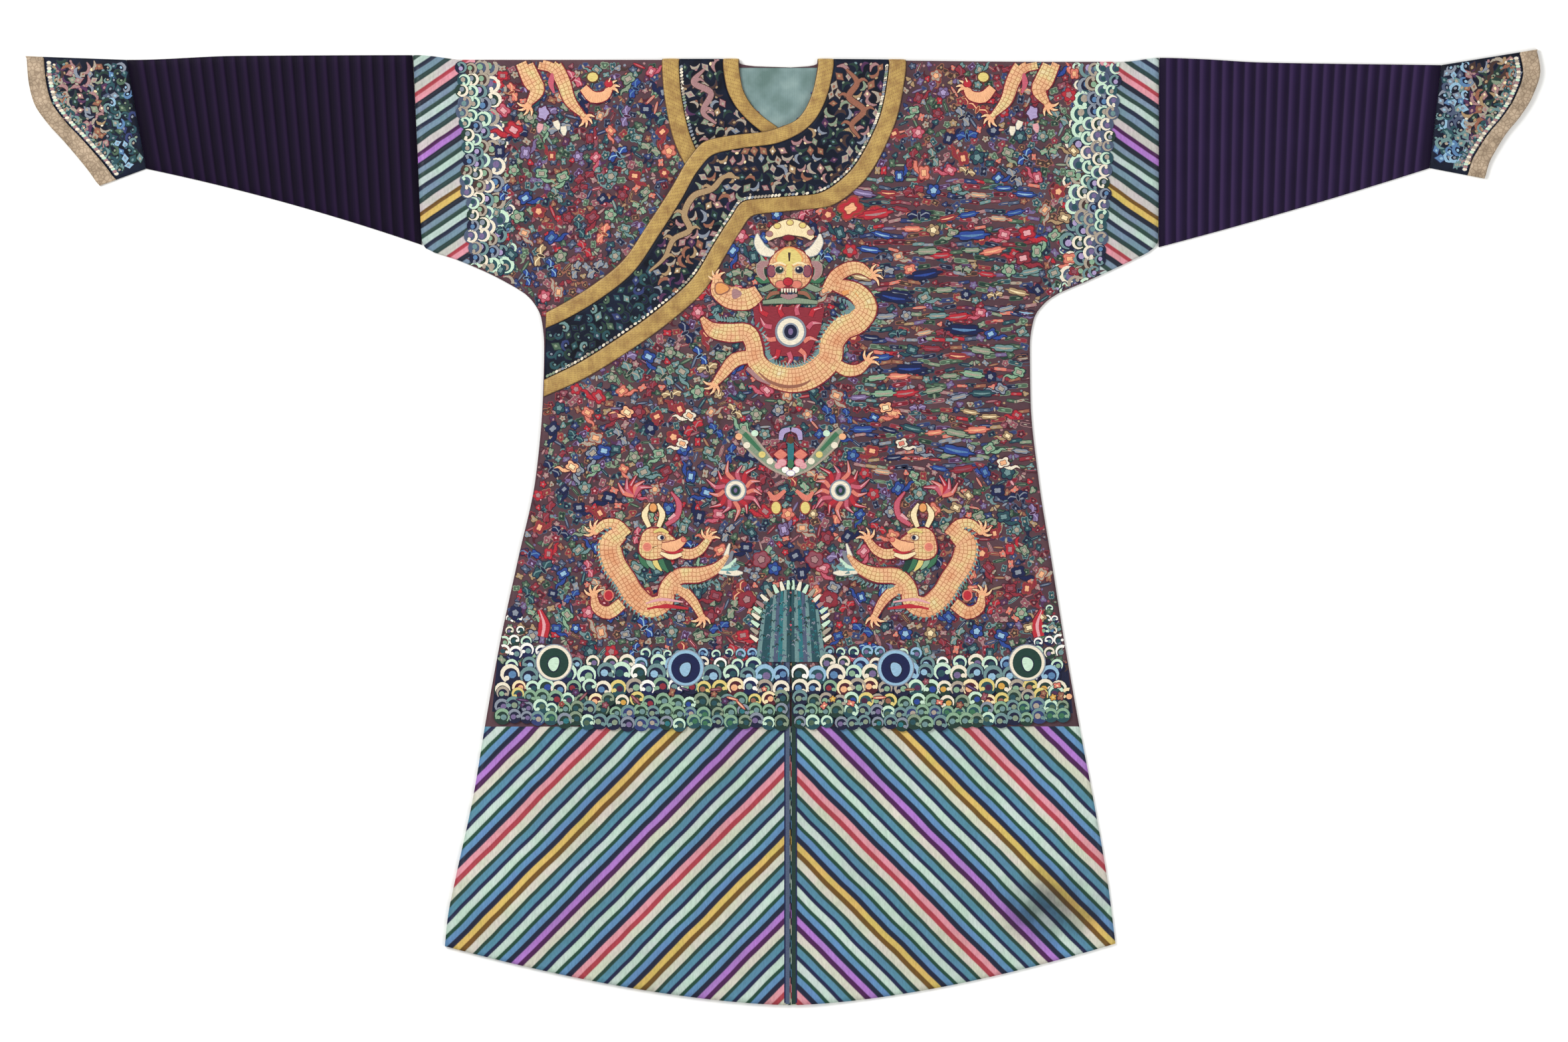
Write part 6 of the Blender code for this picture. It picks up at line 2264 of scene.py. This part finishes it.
def beside_band(collar):
    """A line along the facing, beside the outer band, in millimetres on the robe."""
    points = []
    for rung in collar_rungs(collar):
        kind, edge_across, edge_below, far_across, far_below = rung
        if kind != "front":
            continue
        share = (rung_length(rung) - BAND_WIDTH - BEADS_IN * MM) / rung_length(rung)
        across = edge_across + share * (far_across - edge_across)
        points.append((across / MM, -(edge_below + share * (far_below - edge_below)) / MM))
    return points


def thin_dragon(bm, points, colour):
    widths = (3.0, 8.0, 9.0, 8.5, 7.0, 3.0)
    outlined(bm, points, widths, colour, "umber", 0.8, 1.1, 7 * len(points), 0.6)
    for k, (x, y) in enumerate(points[1:-1], 1):
        away = 1.0 if k % 2 else -1.0
        leg = [(x, y), (x + 9 * away, y + 5), (x + 16 * away, y + 1)]
        outlined(bm, leg, (5, 4.5, 1), colour, "umber", 0.75, 0.9, 5)


for name, behind, seed in (("collar_flowers", False, 31), ("collar_flowers_back", True, 32)):
    flowers = new_pattern()
    chance = random.Random(seed)
    spacing = (FACING_STEP, FACING_MARGIN, facing_choice)
    scatter(flowers, chance, FACING_TREE, FACING_BOX, *spacing, behind, FACING_SIZE)
    if not behind:
        for collar, beads, last in BEAD_ROWS:
            line = curve_through(beside_band(collar)[::3], beads)
            for x, y in (place for place in line[1:-1] if place[1] > last):
                bead = {"segments": 7, "lift": 0.4}
                colour, turn = chance.choice(BEAD_TONES), chance.uniform(0.4, 1.0)
                patch(flowers, (x, y), (3.0, 2.0), colour, turn=turn, **bead)
        for points, colour in THIN_DRAGONS:
            thin_dragon(flowers, points, colour)
    lay_pattern(flowers, name, FACING_TREE, "facing_silk", behind)

# %% The cuffs' pattern
CUFF_NEAR = 46.0  # waves lie this near the sleeve's seam, blossoms beyond
CUFF_REACH = (-40.0, 190.0)
CUFF_STEP, CUFF_MARGIN = 10.5, 4.0
CUFF_TONES = threads(
    "fog ink sky, steel navy sky, haze ink bone, slate navy fog, sky ink fog, petrol ink haze"
)
CUFF_SMALL = drawings(CUFF_TONES, small_wave, petal)
CUFF_SIZES = {"left": (1.0, 1.35), "right": (0.85, 1.15)}  # the left cuff is the bolder one
SCALLOPS_IN = 0.007  # the ivory line from the band
SCALLOP_TONES = ("ivory", "bone", "ivory", "mint", "faded_pink")
SCALLOPS = 46
LARGER_WAVES = (0, 4, 16, 3)


def cuff_pattern(bm, chance, side, behind):
    seam, opening = cuff_lines(side)
    middle = float(seam[:, 0].mean() - CENTRE_X) / MM
    flip = sign_of(side)
    near = CUFF_SMALL if side == "left" else WAVE_SMALL + CUFF_SMALL

    def choose(x, _y):
        return near if abs(x - middle) < CUFF_NEAR else NECK_SMALL

    box = (*sorted(middle + reach * flip for reach in CUFF_REACH), -200.0, 10.0)
    spacing = (CUFF_STEP, CUFF_MARGIN, choose)
    scatter(bm, chance, CUFF_TREE, box, *spacing, behind, CUFF_SIZES[side])
    length = np.linalg.norm(seam - opening, axis=1)
    inner = opening + (seam - opening) * ((CUFF_BAND + SCALLOPS_IN) / length)[:, None]
    line = [((x - CENTRE_X) / MM, (y - SHOULDER_Y) / MM) for x, y in inner[1:-1]]
    for k, place in enumerate(curve_through(line, SCALLOPS)):
        patch(bm, place, (4.2, 3.2), SCALLOP_TONES[k % 5], "slate", segments=8, lift=0.5)
    for k, (x, y) in enumerate(line[1:-1]):
        stamp(bm, WAVE_SMALL[LARGER_WAVES[k % 4]], x - 9 * flip, y, 0.6 * k, 1.1)


for name, behind, seed in (("cuff_waves", False, 41), ("cuff_waves_back", True, 42)):
    waves = new_pattern()
    chance = random.Random(seed)
    for side in ("left", "right"):
        cuff_pattern(waves, chance, side, behind)
    lay_pattern(waves, name, CUFF_TREE, "facing_silk", behind)

# %% [markdown]
# ## Edges
#
# The slit's two edges are bound with a narrow grey-green tape, with a dark line of stitches
# beside it. Both are strokes laid like the rest.

# %% Slit tape
TAPES = (  # from the seam, from and to below, width, colours right and left, lift, dome
    (4.6, 856, 1421, 6.0, ("slate", "bottle"), 0.5, 0.3),
    (8.6, 886, 1419, 2.0, ("navy", "navy"), 0.45, 0.2),
)
TAPE_MIDDLE = 1100
tapes = new_pattern()
for number, flip in enumerate((-1.0, 1.0)):
    for away, top, low, wide, colours, lift, dome in TAPES:
        points = [(flip * away, -below) for below in (top, TAPE_MIDDLE, low)]
        stroke(tapes, points, (wide, wide), colours[number], lift, dome, 80)
lay_pattern(tapes, "slit_tape", BODY_TREE, "body_silk")
